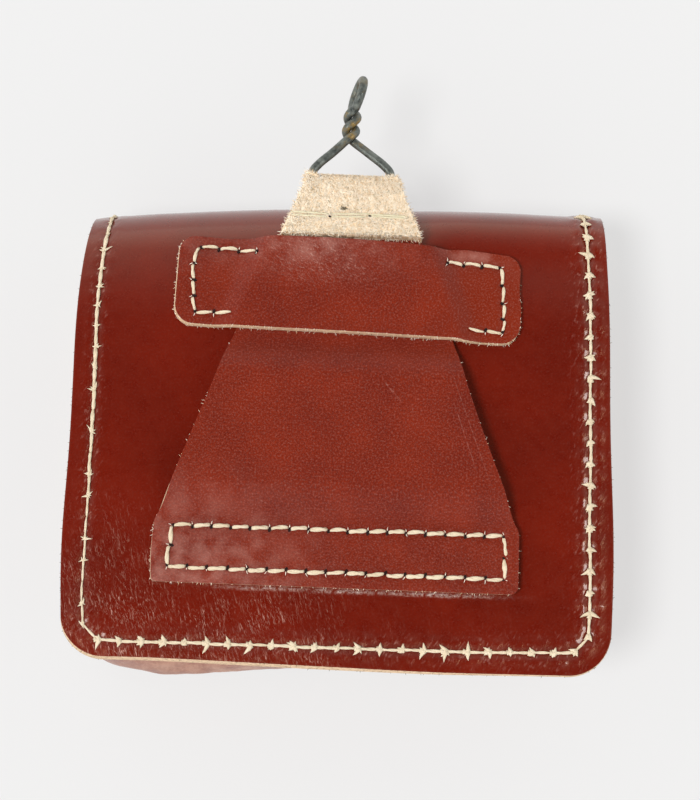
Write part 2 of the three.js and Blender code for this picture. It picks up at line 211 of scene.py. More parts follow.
class PouchLight(bpy.types.PropertyGroup):
    """The light that it lies in"""

    key: strength("Key light", 2.1, "Strength of the soft lamp at the left")
    glint: strength("Glint light", 0.7, "Strength of the lamps that show in polished leather")
    tent: strength("Light tent", 1.3, "Strength of the light all round")
    key_height: bpy.props.FloatProperty(
        name="Key height", description="Angle of the key lamp above the table",
        default=70 * DEGREE, subtype="ANGLE",
    )


# ---- Small sums ----
# A place and a distance are in metres. What follows them, such as a width or a size, is in millimetres.
def lerp(start, end, share):
    return start + (end - start) * share


def smooth(share):
    share = min(max(share, 0.0), 1.0)
    return share * share * (3 - 2 * share)


def fade(place, start, end):
    """Goes gently from 0 to 1 as a place goes from start to end."""
    return smooth((place - start * MM) / ((end - start) * MM))


def bell(place, middle, width):
    """1 at a middle, and next to nothing two widths from it."""
    return math.exp(-(((place - middle * MM) / (width * MM)) ** 2))


def ripple(x, y, size, seed=0.0):
    """Smooth chance between about -1 and 1, in patches of a size."""
    return noise.noise(Vector((x / (size * MM), y / (size * MM), seed)))


def patches(x, y, size, seed, middle, swing):
    """Smooth chance about a middle, kept between 0 and 1."""
    return min(1, max(0, middle + swing * ripple(x, y, size, seed)))


def lines(start, *stretches):
    """Places along a line, from start through stretches of (end, spacing)."""
    places = [start]
    for end, spacing in stretches:
        first = places[-1]
        count = max(1, round((end - first) / spacing))
        places += [lerp(first, end, (i + 1) / count) for i in range(count)]
    return places


def walk(start, heading, legs, distance):
    """The place and heading after a distance along a path of legs, each a (length, turn)."""
    first, second = start
    for reach, turn in (*legs, (math.inf, 0)):
        step = min(distance, reach)
        if turn:
            radius = reach / turn
            after = heading + step / radius
            first += radius * (math.sin(after) - math.sin(heading))
            second -= radius * (math.cos(after) - math.cos(heading))
            heading = after
        else:
            first += step * math.cos(heading)
            second += step * math.sin(heading)
        distance -= step
        if distance <= 0:
            break
    return first, second, heading


# ---- Nodes ----
def add_node(tree, kind, inputs=None, output=0, **settings):
    """Adds a node with its settings and gives one of its outputs. An input is a socket or a value."""
    node = tree.nodes.new(kind)
    for name, value in settings.items():
        setattr(node, name, value)
    for name, value in (inputs or {}).items():
        if isinstance(value, bpy.types.NodeSocket):
            tree.links.new(value, node.inputs[name])
        else:
            node.inputs[name].default_value = value
    return node.outputs[output] if node.outputs else None


def finished(name, lay, *choices):
    """A material, made once. lay adds its nodes to a tree and gives what goes into its shader."""
    material = bpy.data.materials.get(name)
    if not material:
        material = bpy.data.materials.new(name)
        material.use_nodes = True
        tree = material.node_tree
        tree.nodes.clear()
        shader = add_node(tree, "ShaderNodeBsdfPrincipled", lay(tree, *choices))
        add_node(tree, "ShaderNodeOutputMaterial", {"Surface": shader})
    return material


def on_cut(tree):
    """Coordinates on the flat cut of a sheet of leather."""
    return add_node(tree, "ShaderNodeUVMap", uv_map="cut")


def on_piece(tree):
    """Coordinates fixed to a piece."""
    return add_node(tree, "ShaderNodeTexCoord", output=3)


def stretched(tree, coordinates, sizes, slant=0.0, at=(0, 0)):
    """Coordinates whose unit is a width, a height and a thickness in millimetres, slanted in degrees."""
    return add_node(tree, "ShaderNodeMapping", {
        "Vector": coordinates, "Location": (at[0] * MM, at[1] * MM, 0), "Rotation": (0, 0, slant * DEGREE),
        "Scale": [size * MM for size in sizes],
    }, vector_type="TEXTURE")


def along_axis(tree, coordinates, axis):
    """How far along an axis the coordinates are, as a value."""
    return add_node(tree, "ShaderNodeSeparateXYZ", {0: coordinates}, axis)


def read(tree, name):
    """A number that the piece's mesh carries at each of its points."""
    return add_node(tree, "ShaderNodeAttribute", output=2, attribute_name=name)


def reckon(tree, operation, *values):
    """One sum on values or numbers."""
    return add_node(tree, "ShaderNodeMath", dict(enumerate(values)), operation=operation)


def times(tree, value, *factors):
    """A product, whose factors are values or numbers."""
    for factor in factors:
        value = reckon(tree, "MULTIPLY", value, factor)
    return value


def total(tree, *parts):
    """The sum of parts, each a value or a tuple of factors."""
    result = None
    for part in parts:
        value = times(tree, *part) if isinstance(part, tuple) else part
        result = value if result is None else reckon(tree, "ADD", result, value)
    return result


def ramp(tree, value, low, high, start=0.0, end=1.0):
    """A value that goes from start to end while another goes from low to high."""
    return add_node(tree, "ShaderNodeMapRange", {0: value, 1: low, 2: high, 3: start, 4: end})


def grain(tree, coordinates, size, detail=2.0, rough=0.5):
    """Noise whose patches have a size, as a value about 0.5."""
    return add_node(tree, "ShaderNodeTexNoise", {
        "Vector": coordinates, "Scale": 1 / size, "Detail": detail, "Roughness": rough,
    })


def hairlines(tree, coordinates, *layers):
    """Fine wandering lines, as a value that is 1 on a line. A layer is how far apart its lines are and how
    long, in millimetres, their slant in degrees, how fine they are, and the layer's weight."""
    drawn = []
    for apart, long, slant, fine, weight in layers:
        laid = stretched(tree, coordinates, (apart, long, apart), slant)
        aside = reckon(tree, "ABSOLUTE", reckon(tree, "SUBTRACT", grain(tree, laid, 1, 2.5, 0.6), 0.5))
        here_and_there = ramp(tree, grain(tree, laid, 0.6, 1), 0.46, 0.66)
        drawn.append((times(tree, ramp(tree, aside, 0, fine, 1, 0), here_and_there), weight))
    return total(tree, *drawn)


def scratch(tree, coordinates, across, along, long, slant):
    """One fine scratch, as a value that is 1 on it: where its middle is, its length and its slant."""
    laid = stretched(tree, coordinates, (SCRATCH_WIDTH, long / 2, 1), slant, (across, along))
    aside, beyond = (reckon(tree, "ABSOLUTE", along_axis(tree, laid, axis)) for axis in (0, 1))
    broken = ramp(tree, grain(tree, coordinates, 1.2 * MM, 2), 0.38, 0.6)
    return times(tree, ramp(tree, aside, 0, 1, 1, 0), ramp(tree, beyond, 0.5, 1, 1, 0), broken)


def blend(tree, share, first, second):
    """A colour between two others."""
    return add_node(tree, "ShaderNodeMix", {0: share, 6: first, 7: second}, 2, data_type="RGBA")


def laid_over(tree, shade, *layers):
    """A colour under layers of others. A layer is its share and its colour."""
    for share, over in layers:
        shade = blend(tree, share, shade, over)
    return shade


def raised(tree, *parts):
    """Relief from parts of a height in millimetres, each a tuple of factors."""
    return add_node(tree, "ShaderNodeBump", {"Height": total(tree, *parts), "Distance": MM, "Strength": 1.0})


# ---- Finishes. Each function adds a material's nodes and gives what goes into its shader ----
def glazed_leather(tree, colours):
    """Glazed calf, drum dyed: deep red under a clear hard polish, which mirrors light in a soft sheen."""
    cut = on_cut(tree)
    seam, loose, haze = (read(tree, name) for name in ("seam", "loose", "haze"))
    # The dye takes unevenly, in clouds of about 25 mm and flecks of about 3 mm.
    flecks = grain(tree, cut, 3 * MM, 3)
    depth = ramp(tree, total(tree, grain(tree, cut, 25 * MM, 3), (flecks, 0.25)), 0.45, 0.8)
    # Pores are 0.1 mm in calf, and are drawn about 0.5 mm wide so that they show.
    pores = grain(tree, cut, 0.55 * MM, 3, 0.8)
    # Loose grain opens in fine cracks along the hide, 1.1 mm apart and 7.5 mm long, with finer ones between.
    # Their pale colour is painted glints.
    cracks = hairlines(tree, cut, (1.1, 7.5, 13, 0.019, 1.25), (0.6, 2.4, 26, 0.025, 0.75))
    glinting_cracks = times(tree, cracks, loose, ramp(tree, grain(tree, cut, 7 * MM, 2), 0.4, 0.62, 0.45, 1.1))
    # Where the thread pulls, the finish crazes in short slanting wrinkles about 0.7 mm apart.
    # Their pale colour is painted glints too.
    pulls = grain(tree, stretched(tree, cut, (0.7, 2, 0.7), -25), 1, 2, 0.55)
    glinting_pulls = times(tree, ramp(tree, pulls, 0.58, 0.75), seam)
    # Where its haze mark is high, its colour turns a broken pale tan and its finish is duller.
    paled = total(
        tree, grain(tree, stretched(tree, cut, (11, 7, 11)), 1, 2), (pores, 0.45),
        (grain(tree, stretched(tree, cut, (2.2, 0.9, 2.2)), 1, 3), 0.5),
    )
    pale_tan_share = times(tree, ramp(tree, paled, 0.66, 1.16, 0.2, 1), haze)
    # Where an edge crushed it, the glaze is broken to crumbs of about 1 mm, painted pale as their glints.
    crumbs = ramp(tree, grain(tree, cut, 0.9 * MM, 4, 0.75), 0.42, 0.62)
    broken = times(tree, crumbs, read(tree, "crushed"))
    # Cracks and pulls are painted pale as their glints; the pores take a little pale bloom.
    wear_and_glints = total(tree, (glinting_cracks, 1.05), (glinting_pulls, 0.42), (ramp(tree, pores, 0.52, 0.75), 0.06))
    dyed = blend(tree, depth, colours.glaze_dark, colours.glaze)
    return {
        "Base Color": laid_over(
            tree, dyed, (wear_and_glints, colours.wax_bloom_and_glint), (pale_tan_share, colours.pale_tan), (broken, colours.crush_glint)
        ),
        "Roughness": total(tree, ramp(tree, flecks, 0.3, 0.7, 0.26, 0.32), (wear_and_glints, 0.3), (haze, 0.3)),
        "Specular IOR Level": ramp(tree, haze, 0, 0.9, 0.5, 0.15),
        "Specular Tint": colours.sheen,
        "Normal": raised(
            tree, (pores, 0.01), (grain(tree, cut, 6 * MM, 2), 0.03), (glinting_cracks, 0.08),
            (pulls, seam, 0.2), (pale_tan_share, 0.03), (broken, 0.25),
        ),
        "Coat Weight": ramp(tree, total(tree, haze, (broken, 0.5)), 0, 0.7, 0.65, 0.05),
        "Coat Roughness": 0.12,
    }


# Scratches on the strap: across and along it and length, in millimetres, and slant in degrees.
SCRATCHES = (
    (34.0, 43.1, 38, 21), (32.6, 40.5, 22, 20), (12.2, 52.8, 4.2, 36), (13.5, 51.6, 5.2, 44),
    (14.4, 50.2, 3.6, 30), (11.2, 54.0, 3.0, 40), (18.5, 47.0, 3.4, 15),
)
SCRATCH_WIDTH = 0.16


def strap_leather(tree, colours):
    """Aniline-dyed hide, only waxed: a russet red with a fine pebbled grain that stays half matt."""
    cut = on_cut(tree)
    # The pebbles of the grain are about 0.3 mm, and are drawn 0.55 mm wide so that they show.
    pebbles = grain(tree, cut, 0.55 * MM, 3, 0.75)
    depth = ramp(tree, total(tree, (grain(tree, cut, 14 * MM, 3), 0.6), (pebbles, 1.2)), 0.72, 1.1)
    # Fine creases, where the leather was pressed over an edge; their pale colour is a painted highlight.
    creases = hairlines(tree, cut, (0.9, 3.4, 66, 0.026, 1), (0.6, 1.5, 42, 0.03, 0.7))
    glinting_creases = times(tree, creases, read(tree, "loose"))
    scratches = total(tree, *(scratch(tree, cut, *place) for place in SCRATCHES))
    # A painted sheen in patches of about 5 mm where the haze mark lies, and pale specks painted as glints.
    paled = ramp(tree, grain(tree, cut, 5 * MM, 3), 0.38, 0.64, 0.03, 0.27)
    glint_specks = ramp(tree, grain(tree, cut, 0.5 * MM, 3, 0.8), 0.5, 0.7)
    wear_and_glints = total(
        tree, (glint_specks, 0.19), (read(tree, "haze"), paled), (glinting_creases, 0.62),
        (scratches, read(tree, "scratched"), 0.22),
    )
    dyed = blend(tree, depth, colours.strap_dark, colours.strap)
    warm = times(tree, read(tree, "warm"), 0.6)
    return {
        "Base Color": laid_over(tree, dyed, (warm, colours.strap_warm), (wear_and_glints, colours.wax_bloom_and_glint)),
        "Roughness": ramp(tree, pebbles, 0.3, 0.7, 0.4, 0.52),
        "Specular IOR Level": 0.17,
        "Normal": raised(
            tree, (pebbles, 0.045), (glinting_creases, 0.06), (grain(tree, cut, 5 * MM, 2), 0.06),
            (grain(tree, cut, 1.2 * MM, 1), read(tree, "seam"), 0.08),
        ),
    }


def suede(tree, colours):
    """The flesh side of vegetable-tanned hide: cream, matt and woolly, with a little dirt in the nap."""
    place = on_piece(tree)
    tufts = grain(tree, place, 0.8 * MM, 3, 0.65)
    greasy = ramp(tree, grain(tree, place, 7 * MM, 2), 0.45, 0.75, 0, 0.35)
    dirt = times(tree, ramp(tree, grain(tree, place, 1.6 * MM, 3, 0.7), 0.66, 0.78), 0.45)
    woolly = blend(tree, ramp(tree, tufts, 0.35, 0.62), colours.suede_shade, colours.suede)
    return {
        "Base Color": laid_over(tree, woolly, (greasy, colours.thread), (dirt, colours.wire)),
        "Roughness": 0.95, "Normal": raised(tree, (tufts, 0.35)),
        "Sheen Weight": 0.5, "Sheen Roughness": 0.6,
    }


def cut_edge(tree, colours, soil):
    """The cut edge of hide, left raw: tan core fibres in thin layers, with dye and dirt in the open ones."""
    place = on_piece(tree)
    layers = grain(tree, stretched(tree, place, (2.6, 2.6, 0.45)), 1, 3, 0.7)
    fibres = grain(tree, stretched(tree, place, (1.2, 1.2, 0.35)), 1, 3, 0.7)
    core = blend(tree, ramp(tree, layers, 0.3, 0.7), colours.edge_dark, colours.edge)
    return {
        "Base Color": blend(tree, ramp(tree, fibres, 0.5, 0.68, 0, soil), core, colours.edge_soil),
        "Roughness": 0.85, "Normal": raised(tree, (fibres, 0.2)),
    }


def fibre(tree, light, dark, roughness=0.75):
    """Bast or collagen fibre: matt strands, each a little lighter or darker than the next."""
    place = on_piece(tree)
    wax = ramp(tree, grain(tree, place, 1.3 * MM, 2), 0.3, 0.7)
    share = total(tree, (read(tree, "tint"), 0.7), (wax, 0.3))
    return {
        "Base Color": blend(tree, share, dark, light), "Roughness": roughness,
        "Normal": raised(tree, (grain(tree, place, 0.35 * MM, 1), 0.1)),
    }


def suede_fibre(tree, colours):
    """Collagen fibres raised from the flesh side of the hide: most cream, some tan, a few dirty."""
    tint = read(tree, "tint")
    tan = blend(tree, ramp(tree, tint, 0.1, 0.5), colours.suede_dirt, colours.suede_shade)
    return {"Base Color": blend(tree, ramp(tree, tint, 0.5, 1), tan, colours.suede), "Roughness": 0.95}


def shaded_hole(tree, colours):
    """Painted shade for an awl hole through dyed leather, near black as almost no light comes back from so
    deep.
    """
    shade = ramp(tree, grain(tree, on_piece(tree), 0.5 * MM, 1), 0.3, 0.7)
    return {"Base Color": blend(tree, shade, colours.hole, colours.hole_wall_shade), "Roughness": 0.95}


def dulled_steel(tree, colours):
    """Annealed steel wire, years old: grey-green oxide with blue lights and ochre rust where damp sat."""
    place = on_piece(tree)
    oxide = grain(tree, place, 2.2 * MM, 4, 0.65)
    upward = along_axis(tree, place, 1)
    # The damp sat in the twist, which is from about 78 to 85 mm up the pouch.
    twist = times(tree, ramp(tree, upward, 74 * MM, 78 * MM), ramp(tree, upward, 85 * MM, 88 * MM, 1, 0.35))
    stains = times(tree, ramp(tree, grain(tree, place, 2.6 * MM, 3, 0.7), 0.48, 0.64, 0, 0.8), twist)
    bare = blend(tree, ramp(tree, oxide, 0.35, 0.65), colours.wire_dark, colours.wire)
    return {
        "Base Color": blend(tree, stains, bare, colours.wire_stain),
        "Metallic": ramp(tree, stains, 0, 0.8, 0.5, 0.2),
        "Roughness": ramp(tree, oxide, 0.3, 0.7, 0.28, 0.5),
        "Normal": raised(tree, (grain(tree, place, 0.6 * MM, 2), 0.03)),
    }


def brass_cap(tree, colours):
    """Drawn brass with years of handling: warm, brushed by cloth, browner in patches."""
    place = on_piece(tree)
    tarnish = grain(tree, place, 1.8 * MM, 4, 0.65)
    return {
        "Base Color": blend(tree, ramp(tree, tarnish, 0.35, 0.65), colours.brass_dark, colours.brass),
        "Metallic": 1.0, "Roughness": ramp(tree, tarnish, 0.3, 0.7, 0.42, 0.26),
        "Normal": raised(tree, (grain(tree, place, 0.8 * MM, 2), 0.015)),
    }


def pale_table(_, colours):
    """A white laminate table top, matt, lit a little from inside as a light box is."""
    return {
        "Base Color": colours.floor, "Roughness": 0.9, "Specular IOR Level": 0.1,
        "Emission Color": (1, 1, 1, 1), "Emission Strength": 0.58,
    }


def sheet(colours, name, outside, soil):
    """The finishes of a sheet of leather: its outside, its flesh side, and its more or less soiled edge."""
    return [
        finished(name, outside, colours),
        finished("flesh_suede", suede, colours),
        finished(f"raw_hide_edge_{round(100 * soil)}", cut_edge, colours, soil),
    ]


def glazed_sheet(colours):
    return sheet(colours, "glazed_calf", glazed_leather, 0.8)


def waxed_sheet(colours, soil):
    return sheet(colours, "waxed_hide", strap_leather, soil)


def linen(colours):
    return finished("waxed_linen", fibre, colours.thread, colours.thread_shade)


# ---- Leather, cut flat and bent ----
OUTSIDE, FLESH, EDGE = 0, 1, 2  # the finishes of a sheet, in their order
RIM_RADIUS = 0.4 * MM
SEAM_SAMPLES = 14  # places between two holes where a seam's line is known
SEAM_REACH = 9 * MM  # how far from its seam the leather is still flat


def rounded(x, y, box, near_radius, far_radius):
    """Moves a point of a square-cornered cut so that the cut's corners are round."""
    (left, near), (right, far) = box
    middle = (near + far) / 2
    radius = near_radius if y < middle else far_radius
    if radius == 0:
        return x, y
    centre_x = right - radius if x > 0 else left + radius
    centre_y = near + radius if y < middle else far - radius
    a = (x - centre_x) / radius
    b = (y - centre_y) / radius
    if a * x <= 0 or b * (centre_y - middle) <= 0:
        return x, y
    return centre_x + radius * a * math.sqrt(1 - b * b / 2), centre_y + radius * b * math.sqrt(1 - a * a / 2)


def untrimmed(x, y):
    return x, y


def flat_cut(columns, rows, trim=untrimmed):
    """A flat grid at z = 0. trim moves each crossing of its columns and rows to the sheet's outline."""
    bm = bmesh.new()
    across, along = len(columns) - 1, len(rows) - 1
    bmesh.ops.create_grid(bm, x_segments=across, y_segments=along, size=1)
    for vert in bm.verts:
        x = columns[round((vert.co.x + 1) / 2 * across)]
        y = rows[round((vert.co.y + 1) / 2 * along)]
        vert.co = (*trim(x, y), 0)
    return bm


def thicken(bm, thick, flare=lambda out, at: 0.0, rim_radius=RIM_RADIUS):
    """Gives a flat sheet its thickness, downwards, and rounds the two corners of its edge. flare gives how
    far the flesh side stands out beyond the grain side, for a way out of the edge."""
    made = bmesh.ops.extrude_face_region(bm, geom=bm.faces[:], use_keep_orig=True)["geom"]
    lower = [part for part in made if isinstance(part, bmesh.types.BMVert)]
    bmesh.ops.translate(bm, vec=(0, 0, -thick), verts=lower)
    bmesh.ops.recalc_face_normals(bm, faces=bm.faces)
    rim = {face for face in bm.faces if abs(face.normal.z) < 0.5}
    for vert in lower:
        out = sum((face.normal for face in vert.link_faces if face in rim), Vector())
        if out.length > 0:
            out.normalize()
            vert.co += out * flare(out, vert.co)
    for face in bm.faces:
        face.material_index = EDGE if face in rim else OUTSIDE if face.normal.z > 0 else FLESH
    corners = [edge for edge in bm.edges if sum(face in rim for face in edge.link_faces) == 1]
    bmesh.ops.bevel(
        bm, geom=corners, offset=rim_radius, offset_type="OFFSET", segments=2, profile=0.5,
        affect="EDGES", clamp_overlap=True, material=-1,
    )
    bm.normal_update()
    cut = bm.loops.layers.uv.new("cut")
    # The bevel's own faces lean: they go to the side that they face most.
    for face in bm.faces:
        up = face.normal.z
        if abs(up) < 0.99:
            face.material_index = OUTSIDE if up > 0.8 else FLESH if up < -0.7 else EDGE
        for loop in face.loops:
            loop[cut].uv = loop.vert.co.xy
    return bm


def to_mesh(bm, name):
    """A mesh from a bmesh, shaded smooth."""
    mesh = bpy.data.meshes.new(name)
    bm.to_mesh(mesh)
    bm.free()
    mesh.shade_smooth()
    return mesh


def add_piece(name, mesh, materials, replaced=None, body="pouch"):
    """Puts a finished mesh in the scene, on its body and perhaps in the place of a node of the frame."""
    piece = bpy.data.objects.new(name, mesh)
    bpy.context.scene.collection.objects.link(piece)
    for material in materials:
        mesh.materials.append(material)
    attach(piece, body)
    if replaced:
        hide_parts(replaced)
    return piece


def add_sheet(name, bm, place, marks, materials, replaced):
    """Bends a flat sheet into place. marks names the numbers that its points carry, from a flat place."""
    layers = {mark: bm.verts.layers.float.new(mark) for mark in marks}
    for vert in bm.verts:
        x, y, z = vert.co
        for mark, layer in layers.items():
            vert[layer] = marks[mark](x, y)
        vert.co = place(x, y, z, vert)
    bmesh.ops.recalc_face_normals(bm, faces=bm.faces)
    return add_piece(name, to_mesh(bm, name), materials, replaced)


def settled(holder):
    """The mesh that a helper object comes to. The helper is removed."""
    bpy.context.scene.collection.objects.link(holder)
    mesh = bpy.data.meshes.new_from_object(holder.evaluated_get(bpy.context.evaluated_depsgraph_get()))
    bpy.data.objects.remove(holder)
    return mesh


# ---- Threads and fibres ----
def rods(name, spines, radii, overs, tints, sides):
    """One closed tapering rod for each spine, in one mesh. spines holds each rod's ring centres, radii
    their sizes, overs a way that lies across each rod, and tints a number that each rod carries."""
    spines, radii = np.asarray(spines), np.asarray(radii)
    count, rings = radii.shape
    apart = 4.0  # from copy to copy of a rod that is one unit thick and stands on its end
    bm = bmesh.new()
    bmesh.ops.create_cone(
        bm, cap_ends=True, segments=sides, radius1=1, radius2=1, depth=rings - 1,
        matrix=Matrix.Translation((0, 0, (rings - 1) / 2)),
    )
    lengthwise = [edge for edge in bm.edges if abs(edge.verts[0].co.z - edge.verts[1].co.z) > 0.5]
    bmesh.ops.subdivide_edges(bm, edges=lengthwise, cuts=rings - 2)
    holder = bpy.data.objects.new(name, to_mesh(bm, name))
    array = holder.modifiers.new("copies", "ARRAY")
    array.count = count
    array.use_relative_offset = False
    array.use_constant_offset = True
    array.constant_offset_displace = (apart, 0, 0)
    mesh = settled(holder)
    flat = np.empty(len(mesh.vertices) * 3)
    mesh.vertices.foreach_get("co", flat)
    points = flat.reshape(-1, 3)
    rod = np.rint(points[:, 0] / apart).astype(int)
    ring = np.rint(points[:, 2]).astype(int)
    ways = np.gradient(spines, axis=1)
    ways /= np.linalg.norm(ways, axis=2, keepdims=True)
    sideways = np.cross(ways, np.asarray(overs)[:, None, :])
    sideways /= np.linalg.norm(sideways, axis=2, keepdims=True)
    upward = np.cross(ways, sideways)
    local_x = (points[:, 0] - rod * apart)[:, None]
    local_y = points[:, 1][:, None]
    placed = sideways[rod, ring] * local_x + upward[rod, ring] * local_y
    placed = spines[rod, ring] + placed * radii[rod, ring][:, None]
    mesh.vertices.foreach_set("co", placed.ravel())
    tint = mesh.attributes.new("tint", "FLOAT", "POINT")
    tint.data.foreach_set("value", np.asarray(tints)[rod].astype(np.float32))
    mesh.update()
    return mesh


def shares(count):
    """Evenly spaced shares from 0 to 1."""
    return [i / (count - 1) for i in range(count)]


def corner_path(corners, near_radius, far_radius, steps):
    """Points along straight runs between the corners of a box, with the box's corners rounded."""
    box = (tuple(map(min, zip(*corners))), tuple(map(max, zip(*corners))))
    points = []
    for (x, y), (next_x, next_y) in zip(corners, corners[1:]):
        for i in range(steps):
            point = (lerp(x, next_x, i / steps), lerp(y, next_y, i / steps))
            points.append(rounded(*point, box, near_radius, far_radius))
    return points


def even_steps(points, pitch):
    """Points a pitch apart along a line of points, the pitch eased so that they end where it ends."""
    marks = [0.0]
    for before, after in zip(points, points[1:]):
        marks.append(marks[-1] + (after - before).length)
    count = round(marks[-1] / pitch)
    steps = []
    at = 0
    for share in shares(count + 1):
        distance = marks[-1] * share
        while at < len(points) - 2 and marks[at + 1] < distance:
            at += 1
        along = (distance - marks[at]) / (marks[at + 1] - marks[at])
        steps.append(points[at].lerp(points[at + 1], along))
    return steps


def sewn(corners):
    """Holes along straight runs. A corner is two places in millimetres, and how many stitches follow it."""
    holes = []
    for (x, y, count), (next_x, next_y, _) in zip(corners, corners[1:]):
        start, end = Vector((x, y)) * MM, Vector((next_x, next_y)) * MM
        holes += [start.lerp(end, i / count) for i in range(count)]
    return holes + [Vector(corners[-1][:2]) * MM]


def seam_reader(*seams):
    """A function that gives how far a flat place is from the nearest seam, and from its nearest hole."""
    samples = []
    for holes in seams:
        for start, end in zip(holes, holes[1:]):
            for i in range(SEAM_SAMPLES):
                share = i / SEAM_SAMPLES
                samples.append((start.lerp(end, share), min(share, 1 - share) * (end - start).length))
    tree = kdtree.KDTree(len(samples))
    for index, (point, _) in enumerate(samples):
        tree.insert((*point, 0), index)
    tree.balance()

    def near(x, y):
        _, index, distance = tree.find((x, y, 0))
        return distance, math.hypot(distance, samples[index][1])

    return near


def pucker(near, x, y, depth, puff):
    """How far the leather stands up or is pulled down beside a seam. depth and puff are in millimetres."""
    distance, to_hole = near(x, y)
    if distance > SEAM_REACH:
        return 0.0
    groove = depth * (0.35 * bell(distance, 0, 1) + bell(to_hole, 0, 1.25))
    pillow = 1 - 0.8 * bell(to_hole - distance, 0, 1.2)
    swell = bell(distance, 2.5, 1.4) * (0.1 + 0.5 * ripple(x, y, 4, 3) + 1.3 * pillow)
    wrinkle = 0.4 * ripple((x + y) * 0.7, (x - y) * 0.22, 0.9, 5) * bell(distance, 1.6, 1.8)
    return (puff * (swell + wrinkle) - groove) * MM


def seam_pull_and_glint(near):
    """How much the thread pulls the leather, which reaches farther at the right, where glazed leather gets
    more painted glints.
    """
    return lambda x, y: bell(near(x, y)[0], 0, lerp(2.4, 4.2, fade(x, -20, 60)))


# ---- The back panel and flap ----
def reach_of(legs):
    return sum(reach for reach, _ in legs)


# The panel leans over gently before its bend turns tight, which is what makes its sheen fade so softly.
EASE_FROM = 29 * MM
EASE_RUN = 20 * MM
EASE_TURN = 14 * DEGREE
EASE_RADIUS = EASE_RUN / EASE_TURN
TIGHT_RADIUS = (PANEL_TOP - EASE_FROM - EASE_RADIUS * math.sin(EASE_TURN)) / (1 - math.sin(EASE_TURN))
TIGHT_TURN = math.pi / 2 - EASE_TURN
BEND_DROP = EASE_RADIUS * (1 - math.cos(EASE_TURN)) + TIGHT_RADIUS * math.cos(EASE_TURN)
CREASE_HALF = 3 * MM  # half the length of the flap's crease, a soft bend
FLAP_RUN = PANEL_TOP - BEND_RADIUS - FLAP_CREASE
SLOPE_RUN = (FLAP_CREASE - FLAP_END) / math.cos(FLAP_SLOPE)
PANEL_LEGS = (
    (EASE_FROM - PANEL_BOTTOM, 0),
    (EASE_RUN, -EASE_TURN),
    (TIGHT_RADIUS * TIGHT_TURN, -TIGHT_TURN),
    (POUCH_DEPTH - BEND_DROP - BEND_RADIUS, 0),
    (math.pi / 2 * BEND_RADIUS, -math.pi / 2),
    (FLAP_RUN - CREASE_HALF, 0),
    (2 * CREASE_HALF, -FLAP_SLOPE),
    (SLOPE_RUN - CREASE_HALF, 0),
)
PANEL_LENGTH = reach_of(PANEL_LEGS)
CROWN_AT = reach_of(PANEL_LEGS[:3])
FLAP_AT = reach_of(PANEL_LEGS[:5])
PANEL_CORNER = 11 * MM
FLAP_CORNER = 24 * MM


def panel_narrowing(along):
    """The share of its full width that the panel has."""
    return 1 - PANEL_NARROWS / PANEL_HALF * min(1, max(0, along) / (PANEL_TOP - PANEL_BOTTOM))


def trim_panel(x, along):
    """The panel's outline, from a place in a rectangle as wide and as long."""
    box = ((-PANEL_HALF, 0), (PANEL_HALF, PANEL_LENGTH))
    x, along = rounded(x, along, box, PANEL_CORNER, FLAP_CORNER)
    # Its sides belly out a little below the middle, and its lower left corner was cut short.
    belly = 1.15 * MM * bell(along, 30, 22 if x < 0 else 26)
    short = 1.1 * MM * fade(x, -5, -55) - 1.15 * MM * fade(x, -20, 35)
    x *= panel_narrowing(along) + belly / PANEL_HALF
    return x, along + short * fade(along, 25, 0)


# Its free ends have slumped at the bend, the left one more: how far each side draws in, and how far its
# crown moves down the pouch and sinks. From SLUMP_FROM up, this grows with the square of the distance. The
# right side of the bend stands higher again, by RIGHT_RISE.
SLUMP_FROM = 18 * MM
LEFT_SLUMP = Vector((3.2, -3.9, -2.6)) * MM
RIGHT_SLUMP = Vector((-1.9, -1.1, -0.6)) * MM
RIGHT_RISE = 4.6 * MM


def slump(x, y):
    """How far the slump moves a point of the panel's outside."""
    out = abs(x) / PANEL_HALF
    share = max(0.0, (y - SLUMP_FROM) / (PANEL_TOP - SLUMP_FROM)) ** 2
    full = LEFT_SLUMP if x < 0 else RIGHT_SLUMP
    moved = Vector((full.x * out, full.y * out * out, full.z * out * out)) * share
    moved.z += RIGHT_RISE * bell(y, 61, 10) * fade(x, 5, 33)
    return moved


def panel_side(along):
    """The panel's outline from the side: how far up the pouch a place is, its height, and its heading."""
    return walk((PANEL_BOTTOM, POUCH_DEPTH), 0, PANEL_LEGS, along)


def on_panel(x, along, lift=0.0):
    """A point of the panel, lifted off its outer face."""
    y, z, heading = panel_side(along)
    y -= math.sin(heading) * lift
    z += math.cos(heading) * lift
    moved = slump(x, y)
    moved.z *= z / POUCH_DEPTH
    return Vector((x, y, z)) + moved


BACK_OUTLINE = list(zip(*(panel_side(CROWN_AT * share)[:2] for share in shares(401))))


def panel_height(x, y):
    """The height of the panel's outer face above a point of the table."""
    moved = slump(x, y)
    return float(np.interp(y - moved.y, *BACK_OUTLINE) * (1 + moved.z / POUCH_DEPTH))


def panel_seam(sizes):
    """The border's holes, round the panel, over the bend and round the flap, back to the first hole."""
    inset = sizes.border_inset
    left, right, near, far = -PANEL_HALF + inset, PANEL_HALF - inset, inset, PANEL_LENGTH - inset
    corners = [(0, near), (right, near), (right, far), (left, far), (left, near), (0, near)]
    line = []
    for across, along in corner_path(corners, PANEL_CORNER - inset, FLAP_CORNER - inset, 200):
        # Low down the row runs a little outward, and on the left it wanders.
        low = (0.5 * fade(across, -45, -5) + 0.35 * bell(across, 32, 22)) * fade(along, 25, 0)
        wander = 0.6 * bell(along, 74, 26) - 0.4 * bell(along, 22, 11) if across < 0 else 0
        line.append(Vector((across * panel_narrowing(along) + wander * MM, along - low * MM)))
    line.append(line[0])
    return even_steps(line, sizes.border_pitch)


